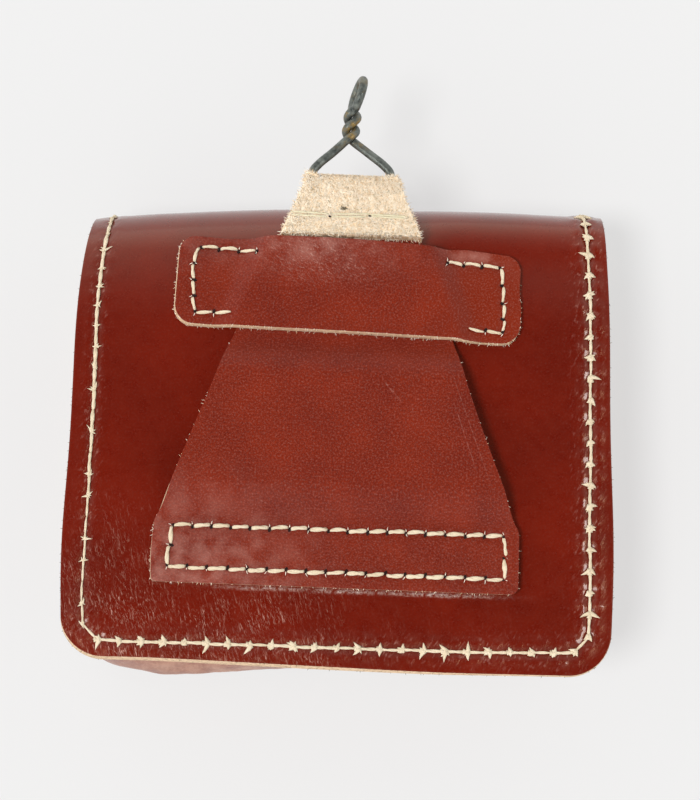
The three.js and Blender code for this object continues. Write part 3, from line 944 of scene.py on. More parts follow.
def crushed(x, along):
    """The glaze ridge that the strap's lower edge crushed, strongest in two places, with painted glints."""
    edge = STRAP_FOOT.y - PANEL_BOTTOM - x * math.tan(STRAP_LEAN) - 0.6 * MM
    where = 1.2 * bell(x, 2, 8) + 1.2 * bell(x, 26, 12) + 0.8 * bell(x, -20, 10)
    return where * bell(along - edge, 0, 0.42) * patches(x, along, 1.6, 21, 0.7, 1.6)


def panel_relief(near, x, along):
    """The panel's own unevenness: puckers at its border, slight waves, and crumbs on its crushed ridge."""
    rightward = fade(x, -30, 50)
    puffed = max(rightward, 0.75 * fade(along, 26, 12))
    puckers = pucker(near, x, along, lerp(0.34, 0.5, rightward), lerp(0.14, 0.44, puffed))
    waves = 0.18 * ripple(x, along, 28, 1) + 0.05 * ripple(x, along, 9, 2)
    crumbs = crushed(x, along) * (0.1 + 0.25 * ripple(x, along, 0.9, 20))
    sunk = 0.12  # so that the highest of these stands no prouder than the frame
    return puckers + (waves + crumbs - sunk) * MM


def loose_grain(x, along):
    """Where the panel's grain is loose and its cracks are painted pale as glints: low down, most of all
    towards the left corner.
    """
    leftward = 0.06 + 0.94 * fade(x, 22, -38)
    return fade(along, 52, 0) * leftward * patches(x, along, 12, 9, 0.75, 0.7)


def panel_flare(out, at):
    """How far the panel's flesh side stands out, most of all along its foot at the left."""
    return (0.2 + 0.45 * max(0, -out.y) * fade(at.x, 60, -10)) * MM


class POUCH_OT_panel(bpy.types.Operator):
    """Makes the back panel and the flap, one piece of glazed leather"""

    bl_idname = "pouch.panel"
    bl_label = "Panel and Flap"

    def execute(self, context):
        sizes, colours = context.scene.pouch_sizes, context.scene.pouch_colours
        near = seam_reader(panel_seam(sizes))
        # The grid is fine along the edges and where the strap's edge crushes the glaze.
        finest, fine, medium, coarse = 0.4 * MM, 0.6 * MM, 1.1 * MM, 1.5 * MM
        border, middle = 12 * MM, 58 * MM
        columns = lines(
            -PANEL_HALF, (-middle, fine), (-16 * MM, coarse), (46 * MM, 2 * finest), (middle, coarse),
            (PANEL_HALF, fine),
        )
        rows = lines(
            0, (border, fine), (17 * MM, medium), (22 * MM, finest), (PANEL_LENGTH - border, medium),
            (PANEL_LENGTH, fine),
        )
        bm = thicken(flat_cut(columns, rows, trim_panel), sizes.panel_thick, panel_flare, 0.45 * MM)

        def place(x, along, z, _):
            return on_panel(x, along, z + panel_relief(near, x, along))

        marks = {"seam": seam_pull_and_glint(near), "loose": loose_grain, "crushed": crushed}
        add_sheet("panel_and_flap", bm, place, marks, glazed_sheet(colours), "back_flap")
        return {"FINISHED"}


# ---- The body ----
def channel(side, corner, across):
    """The legs of a path down one side, round a corner, across, and round a corner up the other side."""
    quarter = (math.pi / 2 * corner, math.pi / 2)
    return (side - corner, 0), quarter, (across - 2 * corner, 0), quarter, (side - corner, 0)


BODY_LEGS = channel(BODY_TOP - BODY_BOTTOM, BODY_CORNER, 2 * BODY_HALF)
BODY_LENGTH = reach_of(BODY_LEGS)
BULGE_AT = reach_of(BODY_LEGS[:2]) + SAG_AT + BODY_HALF - BODY_CORNER
GUSSET_DEPTH = GUSSET_BACK - GUSSET_FRONT
GUSSET_LEGS = channel(GUSSET_FLANGE, 2.5 * MM, GUSSET_DEPTH)
GUSSET_WIDTH = reach_of(GUSSET_LEGS)


def front_rise(y):
    """How much the sloping flap lifts the front wall, towards the flap's end."""
    return max(0.0, FLAP_CREASE - y) * math.tan(FLAP_SLOPE)


def on_gusset(across, along, lift, _):
    """A point of the gusset, from how far it is round the body and across the channel."""
    x, y, heading = walk((-BODY_HALF, BODY_TOP), -math.pi / 2, BODY_LEGS, along)
    out_x, out_y = math.sin(heading), -math.cos(heading)
    out, height, tilt = walk((-GUSSET_FLANGE, 0), 0, GUSSET_LEGS, across)
    out += math.sin(tilt) * lift
    height -= math.cos(tilt) * lift
    share = height / GUSSET_DEPTH
    belly = 0.5 * MM + 0.82 * SAG_DEPTH * bell(x - SAG_AT, 0, 14 if x < SAG_AT else 27) * max(0, -out_y)
    creased = (0.35 * ripple(across, along, 7, 4) + 0.12 * ripple(across, along, 2.4, 6)) * MM
    out += (belly + creased) * math.sin(math.pi * min(max(share, 0), 1))
    y += out_y * out
    return Vector((x + out_x * out, y, lerp(GUSSET_FRONT + front_rise(y), GUSSET_BACK, share)))


def pale_gusset(_, along):
    """How much the gusset turns pale tan, with a duller finish, most of all beside its bulge."""
    return 0.16 + 0.5 * bell(along - BULGE_AT, 8, 34)


def on_front_wall(x, y, lift):
    """A point of the front wall, lifted off its outer face."""
    return Vector((x, y, FRONT_WALL_OUTER + front_rise(y) - lift))


def trim_front(x, y):
    return rounded(x, y, ((-BODY_HALF, BODY_BOTTOM), (BODY_HALF, BODY_TOP)), BODY_CORNER, 0)


def front_seam():
    """The holes along which the front wall is sewn to the gusset, down one side and up the other."""
    inset, below_mouth, pitch = 4.5 * MM, 4 * MM, 5.7 * MM
    side, bottom, top = BODY_HALF - inset, BODY_BOTTOM + inset, BODY_TOP - below_mouth
    corners = [(-side, top), (-side, bottom), (side, bottom), (side, top)]
    line = [Vector(point) for point in corner_path(corners, BODY_CORNER - inset, 0, 100)]
    return even_steps(line + [Vector(corners[-1])], pitch)


class POUCH_OT_body(bpy.types.Operator):
    """Makes the body: the gusset round its sides and bottom, and its front wall"""

    bl_idname = "pouch.body"
    bl_label = "Body"

    def execute(self, context):
        sizes, materials = context.scene.pouch_sizes, glazed_sheet(context.scene.pouch_colours)
        bm = flat_cut(lines(0, (GUSSET_WIDTH, 1.1 * MM)), lines(0, (BODY_LENGTH, 1.5 * MM)))
        thicken(bm, sizes.gusset_thick)
        marks = {"loose": lambda x, y: 0.6, "haze": pale_gusset}
        add_sheet("gusset", bm, on_gusset, marks, materials, "body_gusset")

        near = seam_reader(front_seam())
        fine, coarse = 0.8 * MM, 2 * MM
        columns = lines(-BODY_HALF, (-58 * MM, fine), (58 * MM, coarse), (BODY_HALF, fine))
        rows = lines(BODY_BOTTOM, (-48 * MM, fine), (BODY_TOP, coarse))
        bm = thicken(flat_cut(columns, rows, trim_front), sizes.front_thick, lambda out, at: 0.15 * MM)

        def place(x, y, z, _):
            return on_front_wall(x, y, z + pucker(near, x, y, 0.25, 0.1) - 0.1 * MM)

        marks = {"seam": seam_pull_and_glint(near), "loose": lambda x, y: 0.5}
        add_sheet("front_leather", bm, place, marks, materials, "front_wall")
        return {"FINISHED"}


# ---- The belt strap ----
def leaned(foot, lean, across, up):
    """A place seen from above, from how far it is across and up a sheet that leans from its foot."""
    return (
        foot.x + across * math.cos(lean) + up * math.sin(lean),
        foot.y - across * math.sin(lean) + up * math.cos(lean),
    )


def on_strap(across, along, height):
    """A point above the leaning strap, from how far it is across and along it."""
    return Vector((*leaned(STRAP_FOOT, STRAP_LEAN, across, along), height))


def strap_half(along):
    """Half the strap's width, which tapers above its foot."""
    return STRAP_HALF - STRAP_TAPER * max(0.0, along - STRAP_STRAIGHT)


def strap_low(sizes):
    """The height of the middle of the strap's leather where it lies on the panel."""
    return POUCH_DEPTH + SEAT_GAP + sizes.strap_thick / 2


def strap_middle(sizes, along):
    """The height of the middle of the strap's leather, which rises under the keeper."""
    return strap_low(sizes) + STRAP_RISE * (fade(along, 17.5, 27) - fade(along, 55.5, 65.5))


def fold_radius(sizes):
    """From the middle of the wire to the middle of the leather round it."""
    return sizes.wire_radius + SEAT_GAP + sizes.strap_thick / 2


def wire_height(sizes):
    """The height of the middle of the wire."""
    return strap_low(sizes) + fold_radius(sizes)


def turned_at(sizes):
    """How far along its cut leather the strap has turned right over the wire."""
    return FOLD_AXIS + math.pi * fold_radius(sizes)


def strap_end(sizes):
    """How far along its cut leather the strap ends, under its fold."""
    return turned_at(sizes) + FOLD_AXIS - FOLD_END


def skived(sizes, cut):
    """How much was pared off the flesh side where the leather turns over the wire."""
    return 0.95 * MM * fade(cut, 101, 105) * fade(cut - turned_at(sizes), 10, 2)


def along_strap(sizes, cut):
    """How far along the strap a place lies, from how far along its cut leather it is."""
    return min(cut, FOLD_AXIS) if cut < turned_at(sizes) else FOLD_AXIS - (cut - turned_at(sizes))


def trim_strap(sizes, x, cut):
    """The strap's outline, from a place in a rectangle as wide as its foot."""
    foot_corner = (1.1 if x < 0 else 2.2) * MM
    x, cut = rounded(x, cut, ((-STRAP_HALF, 0), (STRAP_HALF, FOLD_AXIS)), foot_corner, 0)
    share = x / STRAP_HALF
    along = along_strap(sizes, cut)
    half = strap_half(along)
    sleeve_share = SLEEVE_HALF / strap_half(FOLD_AXIS)
    toward_fold = fade(cut, 92, 104) * fade(cut - turned_at(sizes), 12, 0)
    inner = lerp(sleeve_share * half, SLEEVE_HALF, toward_fold)
    if abs(share) <= sleeve_share:
        return inner * share / sleeve_share, cut
    outer = (abs(share) - sleeve_share) / (1 - sleeve_share)
    # Its foot was cut a little fuller at the left, and its right side is hollow.
    fuller = 0.9 * bell(cut, 7, 10) if x < 0 else -1.3 * bell(cut, 50, 28)
    # Beyond the keeper it was pared narrower, more at the left.
    pared = lerp(1.5, 2.1, toward_fold) if x < 0 else lerp(0.4, 1.3, toward_fold)
    half += (fuller - pared * fade(along, 82, 92)) * MM
    return math.copysign(lerp(inner, half, outer), share), cut


def trim_ear(sizes, x, cut):
    """The outline of an ear of the fold, beside the wire's sleeve. The left one stands higher and slants."""
    beyond = smooth((turned_at(sizes) - cut) / EAR_LENGTH)
    outward = (abs(x) - SLEEVE_HALF) / (strap_half(FOLD_AXIS) - SLEEVE_HALF)
    lower, slant, drawn = (1.2, 1.3, 1.0) if x < 0 else (1.95, 0.2, 1.5)
    lower += slant * (1 - outward) ** 2
    inward = drawn * outward - 0.9 * (1 - outward)
    return math.copysign(abs(x) - inward * MM * beyond * beyond, x), cut + lower * MM * beyond


def on_strap_leather(sizes, across, cut, lift, ear=False):
    """A point of the bent strap. lift is up from the middle of the leather, on its grain side."""
    if cut <= FOLD_AXIS and not ear:
        step = 0.2 * MM
        rise = strap_middle(sizes, cut + step) - strap_middle(sizes, cut - step)
        tilt = math.atan2(rise, 2 * step)
        height = strap_middle(sizes, cut) + math.cos(tilt) * lift
        return on_strap(across, cut - math.sin(tilt) * lift, height)
    if cut >= turned_at(sizes) or ear:
        along = FOLD_AXIS - (cut - turned_at(sizes))
        low = strap_low(sizes) + sizes.strap_thick + SEAT_GAP
        high = wire_height(sizes) + fold_radius(sizes)
        down = smooth((FOLD_AXIS - SEAT_GAP - along) / (FOLD_AXIS - SEAT_GAP - FOLD_SEWN))
        return on_strap(across, along, lerp(high, low, down) - lift)
    angle = (cut - FOLD_AXIS) / fold_radius(sizes) - math.pi / 2
    radius = fold_radius(sizes) - lift
    along, height = FOLD_AXIS + radius * math.cos(angle), wire_height(sizes) + radius * math.sin(angle)
    return on_strap(across, along, height)


def strap_blank(sizes):
    """The strap's flat cut, notched for the wire and slit beside its sleeve, and the mark of its ears."""
    turned = turned_at(sizes)
    notch_end = turned - EAR_LENGTH
    slit = STRAP_HALF * SLEEVE_HALF / strap_half(FOLD_AXIS)
    columns = lines(-STRAP_HALF, *((end, 0.7 * MM) for end in (-slit, slit, STRAP_HALF)))
    rows = lines(
        0, (20 * MM, 0.6 * MM), (FOLD_SHOULDER, 1.1 * MM), (notch_end, 0.6 * MM), (turned, 0.5 * MM),
        (strap_end(sizes), 0.55 * MM),
    )
    bm = flat_cut(columns, rows)

    def beside_sleeve(face, low, high):
        centre = face.calc_center_median()
        return abs(centre.x) > slit and low < centre.y < high

    def on_slit(vert):
        along = vert.co.y - notch_end
        return abs(abs(vert.co.x) - slit) < 0.05 * MM and -0.1 * MM < along < EAR_LENGTH + 0.1 * MM

    notched = [face for face in bm.faces if beside_sleeve(face, FOLD_SHOULDER, notch_end)]
    bmesh.ops.delete(bm, geom=notched, context="FACES")
    bmesh.ops.split_edges(bm, edges=[edge for edge in bm.edges if all(map(on_slit, edge.verts))])
    ears = bm.verts.layers.float.new("ear")
    for face in bm.faces:
        if beside_sleeve(face, FOLD_AXIS, turned):
            for vert in face.verts:
                vert[ears] = 1.0
    for vert in bm.verts:
        x, cut = trim_strap(sizes, vert.co.x, vert.co.y)
        if vert[ears] > 0.5:
            x, cut = trim_ear(sizes, x, cut)
        vert.co = (x, cut, 0)
    return bm, ears


def strap_flare(out, at):
    """How far the strap's flesh side stands out, or back at its foot and its end."""
    slant = 0.9 if at.x < 4 * MM else 1.35
    return (0.28 * max(0, -out.x) - 0.15 * max(0, -out.y) - slant * max(0, out.y)) * MM


# The holes of the strap's box of stitches, across and along the strap, with the stitches of each side.
STRAP_BOX = (
    (-44.4, 4.05, 17), (44.35, 3.95, 2), (43.8, 15.25, 17), (-43.5, 15.1, 2), (-44.4, 4.05, 0),
)
STRAP_BOX_MIDDLE = Vector((0, 9.2 * MM))


class POUCH_OT_strap(bpy.types.Operator):
    """Makes the belt strap, folded over the wire so that its flesh side shows"""

    bl_idname = "pouch.strap"
    bl_label = "Belt Strap"

    def execute(self, context):
        sizes, colours = context.scene.pouch_sizes, context.scene.pouch_colours
        near = seam_reader(sewn(STRAP_BOX))
        bm, ears = strap_blank(sizes)
        thicken(bm, sizes.strap_thick, strap_flare)
        half_thick = sizes.strap_thick / 2

        def place(x, cut, z, vert):
            lift = z + half_thick
            if cut < FOLD_SHOULDER:
                lift += pucker(near, x, cut, 0.3, 0.14) + 0.12 * MM * ripple(x, cut, 16, 8)
                lift += 0.7 * MM * fade(x, 38, 48) * fade(cut, 32, 12)  # its lower right corner curls up
            if z < -half_thick:
                lift += 0.12 * MM * ripple(x, cut, 1.1, 12) + skived(sizes, cut)
            return on_strap_leather(sizes, x, cut, lift, vert[ears] > 0.5)

        marks = {
            "seam": seam_pull_and_glint(near),
            "loose": lambda x, y: 0.2 * fade(y, 30, 0),
            # A painted sheen on the strap's lower left.
            "haze": lambda x, y: fade(x, 8, -42) * fade(y, 36, 2),
            "scratched": lambda x, y: 1.0,
        }
        materials = waxed_sheet(colours, 0.5)
        add_sheet("strap_leather", bm, place, marks, materials, "belt_strap")
        return {"FINISHED"}


# ---- The keeper band ----
def keeper_lift(sizes, x, y):
    """How far the strap holds the keeper up, and how gently it comes down beside it."""
    across, along = leaned(Vector((0, 0)), -STRAP_LEAN, x - STRAP_FOOT.x, y - STRAP_FOOT.y)
    beyond = abs(across) - strap_half(along) - KEEPER_STEP
    return (sizes.strap_thick + SEAT_GAP) * (1 - smooth(beyond / KEEPER_RAMP))


def on_keeper(sizes, across, up, lift):
    """A point of the keeper, from how far it is along the band and up it. lift is up from its grain side."""
    x, y = leaned(KEEPER_AT, KEEPER_LEAN, across, up)
    bed = panel_height(x, y)
    rise = keeper_lift(sizes, x, y)
    over_strap = (POUCH_DEPTH - bed) * rise / (sizes.strap_thick + SEAT_GAP)
    return Vector((x, y, bed + SEAT_GAP + rise + over_strap + sizes.keeper_thick + lift))


def trim_keeper(across, up):
    """The keeper's outline, from a place in a rectangle as wide and as high."""
    across, up = rounded(across, up, ((-KEEPER_HALF, -KEEPER_UP), (KEEPER_HALF, KEEPER_UP)), 5 * MM, 4 * MM)
    middle = 1 - (across / KEEPER_HALF) ** 2
    low = (1 - up / KEEPER_UP) / 2
    # Its lower edge draws up, most of all before it steps down off the strap at the right.
    drawn = 0.85 + 0.5 * fade(across, -35, 5) * fade(across, 33, 28)
    # Its upper corners stand a little high, and the right one leans in.
    high = fade(across, -32, -44) + 0.7 * fade(across, 24, 32)
    lean = 0.75 * smooth(across / KEEPER_HALF) * fade(up, -4, 4)
    up *= 1 + KEEPER_BOW * middle / KEEPER_UP
    return across - lean * MM, up + KEEPER_ARCH * middle + (drawn * low + high * (1 - low)) * MM


def keeper_flare(out, at):
    """How far the keeper's flesh side stands out, or back at its right end."""
    lower = lerp(0.4, 0.22, fade(at.x, 24, 36))
    return (0.03 + 0.35 * max(0, -out.x) + lower * max(0, -out.y) - 0.25 * max(0, out.x)) * MM


def keeper_sheen(x, y):
    """Where a sheen is painted on the keeper: at its left, and in a streak near its upper right corner."""
    upper_left_sheen = 0.35 * smooth(y / KEEPER_UP) + 0.9 * bell(x, -11, 9) * bell(y, 12, 4)
    return upper_left_sheen * (1 - 0.7 * fade(x, 0, 20)) + bell(x, 32, 6) * bell(y, 12, 2)


# The keeper's two seams, along and up the band.
KEEPER_SEAMS = (
    ((-25.2, 9.5, 3), (-40.4, 10.1, 1), (-41.9, 5.4, 1), (-41.7, 0.8, 1), (-41.2, -3.5, 1), (-40.4, -8.0, 2),
     (-30.6, -7.8, 0)),
    ((25.4, 9.9, 3), (39.7, 9.6, 1), (40.6, 4.8, 1), (41.0, -0.2, 1), (41.4, -4.4, 1), (41.3, -8.2, 2),
     (32.1, -7.9, 0)),
)
KEEPER_SEAM_MIDDLE = 25 * MM


class POUCH_OT_keeper(bpy.types.Operator):
    """Makes the keeper band, sewn down at both ends and raised over the strap"""

    bl_idname = "pouch.keeper"
    bl_label = "Keeper Band"

    def execute(self, context):
        sizes, colours = context.scene.pouch_sizes, context.scene.pouch_colours
        near = seam_reader(*map(sewn, KEEPER_SEAMS))
        fine = 0.6 * MM
        columns, rows = lines(-KEEPER_HALF, (KEEPER_HALF, fine)), lines(-KEEPER_UP, (KEEPER_UP, fine))
        bm = thicken(flat_cut(columns, rows, trim_keeper), sizes.keeper_thick, keeper_flare)

        def place(x, y, z, _):
            relief = pucker(near, x, y, 0.3, 0.12) + 0.1 * MM * ripple(x, y, 12, 10)
            return on_keeper(sizes, x, y, z + relief)

        marks = {
            "seam": seam_pull_and_glint(near),
            "loose": lambda x, y: bell(x, -8, 15) * fade(y, -2, 7),
            "haze": keeper_sheen,
            "warm": lambda x, y: fade(x, 18, 32),
        }
        materials = waxed_sheet(colours, 0.2)
        add_sheet("keeper_leather", bm, place, marks, materials, "keeper_band")
        return {"FINISHED"}


# ---- The wire hanger ----
WIRE_CORNER = 3 * MM
LEG_FOOT = Vector((10.25 * MM, 111.7 * MM))
NECK_START = Vector((-0.8 * MM, 120.4 * MM))
NECK_END = Vector((-0.3 * MM, 127.8 * MM))
NECK_RADIUS = 1.3 * MM
EYE_LEAN = 14 * DEGREE
EYE_TURN = 13 * DEGREE
EYE_LENGTH = 8.7 * MM
EYE_HALF = 4.4 * MM
END_GAP = 0.25 * MM


def wire_side(sizes, side):
    """Half of the wire, from its end in the sleeve round the bend, up a leg and through the twisted neck."""
    middle_height = wire_height(sizes)
    leg = math.atan2(NECK_START.y - LEG_FOOT.y, -side * (NECK_START.x - side * LEG_FOOT.x))
    turn = math.pi - leg
    sharp = LEG_FOOT.x + (LEG_FOOT.y - FOLD_AXIS) / math.tan(leg)
    bend_from = sharp - WIRE_CORNER * math.tan(turn / 2)
    points = [Vector((side * lerp(END_GAP, bend_from, i / 3), FOLD_AXIS, middle_height)) for i in range(3)]
    for share in shares(6):
        across = bend_from + WIRE_CORNER * math.sin(share * turn)
        along = FOLD_AXIS + WIRE_CORNER * (1 - math.cos(share * turn))
        points.append(Vector((side * across, along, middle_height)))
    front = 1 if side < 0 else -1  # the left leg crosses above the right one
    meet = Vector((*NECK_START, middle_height + front * NECK_RADIUS))
    half_way = points[-1].lerp(meet, 0.5)
    half_way.z = middle_height + front * 0.25 * MM
    points.append(half_way)
    for share in shares(13):
        angle = share * 2 * math.pi
        centre = NECK_START.lerp(NECK_END, share)
        points.append(Vector((
            centre.x + front * NECK_RADIUS * math.sin(angle), centre.y,
            middle_height + front * NECK_RADIUS * math.cos(angle),
        )))
    return points


def wire_eye(sizes):
    """The eye at the wire's end, from one side of the neck round to the other."""
    points = []
    for share in shares(17)[1:-1]:
        angle = share * 2 * math.pi - math.pi
        along = EYE_LENGTH / 2 * (1 + math.cos(angle))
        half = -EYE_HALF * math.sin(angle)
        points.append(Vector((
            NECK_END.x + math.sin(EYE_LEAN) * along + half * math.sin(EYE_TURN),
            NECK_END.y + math.cos(EYE_LEAN) * along,
            wire_height(sizes) + half * math.cos(EYE_TURN),
        )))
    return points


class POUCH_OT_hanger(bpy.types.Operator):
    """Makes the wire hanger, one length of wire twisted into an eye"""

    bl_idname = "pouch.hanger"
    bl_label = "Wire Hanger"

    def execute(self, context):
        sizes = context.scene.pouch_sizes
        points = wire_side(sizes, -1) + wire_eye(sizes) + wire_side(sizes, 1)[::-1]
        curve = bpy.data.curves.new("wire", "CURVE")
        curve.dimensions = "3D"
        curve.bevel_depth = sizes.wire_radius
        curve.bevel_resolution = 6
        curve.resolution_u = 5
        curve.use_fill_caps = True
        spline = curve.splines.new("BEZIER")
        spline.bezier_points.add(len(points) - 1)
        for knot, point in zip(spline.bezier_points, points):
            knot.co = on_strap(*point)
            knot.handle_left_type = knot.handle_right_type = "AUTO"
            knot.radius = 1 + 0.04 * ripple(knot.co.x, knot.co.y, 3, 14)
        mesh = settled(bpy.data.objects.new("wire", curve))
        mesh.materials.clear()
        mesh.shade_smooth()
        steel = finished("dulled_steel", dulled_steel, context.scene.pouch_colours)
        add_piece("hanger_wire", mesh, [steel], "wire_hanger", "hanger")
        return {"FINISHED"}


# ---- The closing stud ----
# Half of the stud's outline, in millimetres: radius, and height above the flap's leather.
STUD_PROFILE = (
    (0, -6.0), (4.6, -6.0), (5.0, -5.6), (5.0, -5.3), (4.7, -5.05), (1.8, -5.0), (1.8, 0.25), (4.1, 0.3),
    (4.5, 0.55), (4.5, 0.8), (4.3, 1.25), (3.75, 1.75), (2.9, 2.15), (1.7, 2.4), (0, 2.5),
)


class POUCH_OT_stud(bpy.types.Operator):
    """Makes the brass stud that closes the flap"""

    bl_idname = "pouch.stud"
    bl_label = "Closing Stud"

    def execute(self, context):
        bm = bmesh.new()
        ring = [bm.verts.new((radius * MM, 0, height * MM)) for radius, height in STUD_PROFILE]
        edges = [bm.edges.new(pair) for pair in zip(ring, ring[1:])]
        bmesh.ops.spin(
            bm, geom=ring + edges, cent=(0, 0, 0), axis=(0, 0, 1), angle=2 * math.pi, steps=48,
            use_merge=True,
        )
        bmesh.ops.remove_doubles(bm, verts=bm.verts, dist=0.005 * MM)
        bmesh.ops.recalc_face_normals(bm, faces=bm.faces)
        turned = Matrix.Rotation(math.pi - FLAP_SLOPE, 4, "X")
        seat = Matrix.Translation((0, STUD_AT, front_rise(STUD_AT)))
        bmesh.ops.transform(bm, matrix=seat @ turned, verts=bm.verts)
        mesh = to_mesh(bm, "stud")
        mesh.set_sharp_from_angle(angle=40 * DEGREE)
        brass = finished("worn_brass", brass_cap, context.scene.pouch_colours)
        add_piece("stud", mesh, [brass], "closing_stud")
        return {"FINISHED"}


# ---- Seams ----
STITCH_RINGS = 11
BARB_RINGS = 5
TWIST_LENGTH = 7 * MM  # of thread for one turn of its two plies
FOLD_ROW = 99.2 * MM  # how far along the strap the fold's stitches lie
FOLD_HOLES = (-15.6, -5.4, 5.2, 15.8)  # where they go through it, in millimetres from its middle


def strayed(chance, *spreads):
    """A random step, within a spread each way."""
    return Vector([chance.uniform(-spread, spread) for spread in spreads])


def toward(angle):
    """A way on the leather, from its heading."""
    return Vector((math.cos(angle), math.sin(angle)))


class Threads:
    """Collects the rods of one mesh of threads or fibres."""

    def __init__(self):
        self.spines, self.radii, self.overs, self.tints = [], [], [], []

    def add(self, spine, radius, tint):
        self.spines.append(spine)
        self.radii.append(radius)
        self.overs.append((spine[-1] - spine[0]).orthogonal())
        self.tints.append(tint)

    def piece(self, name, material, slot, sides):
        mesh = rods(name, self.spines, self.radii, self.overs, self.tints, sides)
        return add_piece(name, mesh, [material])


def add_stitch(threads, start, end, place, chance, thick, rise, sink, lean=(0, 0)):
    """One stitch of two twisted plies, from one hole of a flat cut to the next. It bows towards its lean."""
    run = end - start
    side = run.orthogonal().normalized()
    lean = Vector(lean)
    turns = run.length / TWIST_LENGTH
    first_turn = chance.uniform(0, 6)
    bow = chance.uniform(-0.15, 0.15) * MM
    thick *= chance.uniform(0.88, 1.12)
    for ply in (0, 1):
        spine, radius = [], []
        for share in shares(STITCH_RINGS):
            arch = math.sin(math.pi * share) ** 0.4
            angle = first_turn + (ply + 2 * turns * share) * math.pi
            swing = thick * 0.15 * (0.4 + 0.6 * arch)
            point = start + run * share + side * (swing * math.cos(angle) + bow * arch) + lean * arch
            spine.append(place(point.x, point.y, lerp(-sink, rise, arch) + swing * math.sin(angle)))
            radius.append(thick * 0.33 * (0.72 + 0.28 * arch))
        threads.add(spine, radius, chance.uniform(0.55, 1.0))


def add_barb(threads, at, way, place, chance, reach, base, height):
    """A tapering tuft of fibre that stands out of a hole, along a way on the leather."""
    curl = chance.uniform(-0.35, 0.35)
    spine, radius = [], []
    for share in shares(BARB_RINGS):
        point = at + way * (reach * share) + way.orthogonal() * (reach * curl * share * share)
        spine.append(place(point.x, point.y, height * (0.3 + 0.7 * math.sin(math.pi * 0.75 * share))))
        radius.append(base * (1 - share) ** 0.8 + 0.02 * MM)
    threads.add(spine, radius, chance.uniform(0.6, 1.0))


# The tufts of a frayed knot: slant from its heading in degrees, share of its size, thickness in millimetres.
KNOT_TUFTS = (
    (122, 1.0, 0.75), (-118, 1.05, 0.8), (148, 0.72, 0.75), (-148, 0.76, 0.75), (100, 0.55, 0.5),
    (-88, 0.55, 0.5),
)
TUFT_HEIGHT = 0.2 * MM


def add_knot(threads, at, along, place, chance, size, stout):
    """The frayed knot at a border hole: an arrowhead along the seam, with a spike at each side."""
    heading = math.atan2(along.y, along.x) + (1.25 - stout) * chance.uniform(-1.0, 1.0)
    ahead = toward(heading)
    front = at + ahead * 0.35 * size * stout
    for slant, reach, base in KNOT_TUFTS:
        if chance.random() > stout + 0.25:
            continue
        way = toward(heading + (slant + chance.uniform(-24, 24)) * DEGREE)
        far = size * reach * chance.uniform(0.6, 1.35)
        add_barb(threads, front, way, place, chance, far, base * stout * MM, TUFT_HEIGHT)
    back = at - ahead * 0.3 * size
    add_barb(threads, back, ahead, place, chance, size * 0.95, 0.8 * stout * MM, TUFT_HEIGHT)


# A hole's slit: how far along its half length each ring is, and its half width in millimetres.
SLIT_RINGS = ((-1, 0.04), (-0.6, 0.26), (0, 0.33), (0.6, 0.26), (1, 0.04))
SLIT_DEPTH = 0.14 * MM


def add_hole(holes, at, way, place, chance, size):
    """A slit left by the awl, sunk in the leather and painted dark as the shade in the hole."""
    half = chance.uniform(0.42, 0.6) * size * MM
    spine = [place(*(at + way * half * share), -SLIT_DEPTH) for share, _ in SLIT_RINGS]
    holes.add(spine, [size * radius * MM for _, radius in SLIT_RINGS], 0.5)


class POUCH_OT_border(bpy.types.Operator):
    """Sews the border of the panel and the flap, with frayed knots at its holes, fewer up the left side"""

    bl_idname = "pouch.border"
    bl_label = "Border Seam"

    def execute(self, context):
        sizes = context.scene.pouch_sizes
        chance = random.Random(sizes.seed)
        holes = panel_seam(sizes)
        corner = 9 * MM

        def place(x, along, lift):
            # The flap's seam is pressed into its leather where it lies on the table.
            pressed = 0.42 * MM * smooth((along - CROWN_AT) / (FLAP_AT - CROWN_AT))
            return on_panel(x, along, lift - pressed - 0.1 * MM)

        threads, knots = Threads(), Threads()
        for start, end in zip(holes, holes[1:]):
            middle = start.lerp(end, 0.5)
            in_corner = middle.x < corner - PANEL_HALF and middle.y < corner
            rise = 0.02 * MM if in_corner else 0.34 * MM
            size = chance.uniform(1.4, 2.4) * MM
            # Up the left side the thread thickens from thin to stout, and its knots are worn small.
            left = start.x < -60 * MM and corner < start.y < CROWN_AT
            high_up = fade(start.y, 35, 75)
            thick = sizes.border_thread * (lerp(0.8, 1.2, high_up) if left else 1)
            add_stitch(threads, start, end, place, chance, thick, rise, sink=0.1 * MM)
            if not left:
                add_knot(knots, start, end - start, place, chance, size, stout=1)
            elif start.y < 14 * MM or chance.random() < lerp(0.55, 1, high_up):
                add_knot(knots, start, end - start, place, chance, 0.9 * size, stout=0.5)
        thread = linen(context.scene.pouch_colours)
        threads.piece("border_thread", thread, "linen_thread", 6)
        knots.piece("border_knots", thread, "linen_thread", 5)
        return {"FINISHED"}


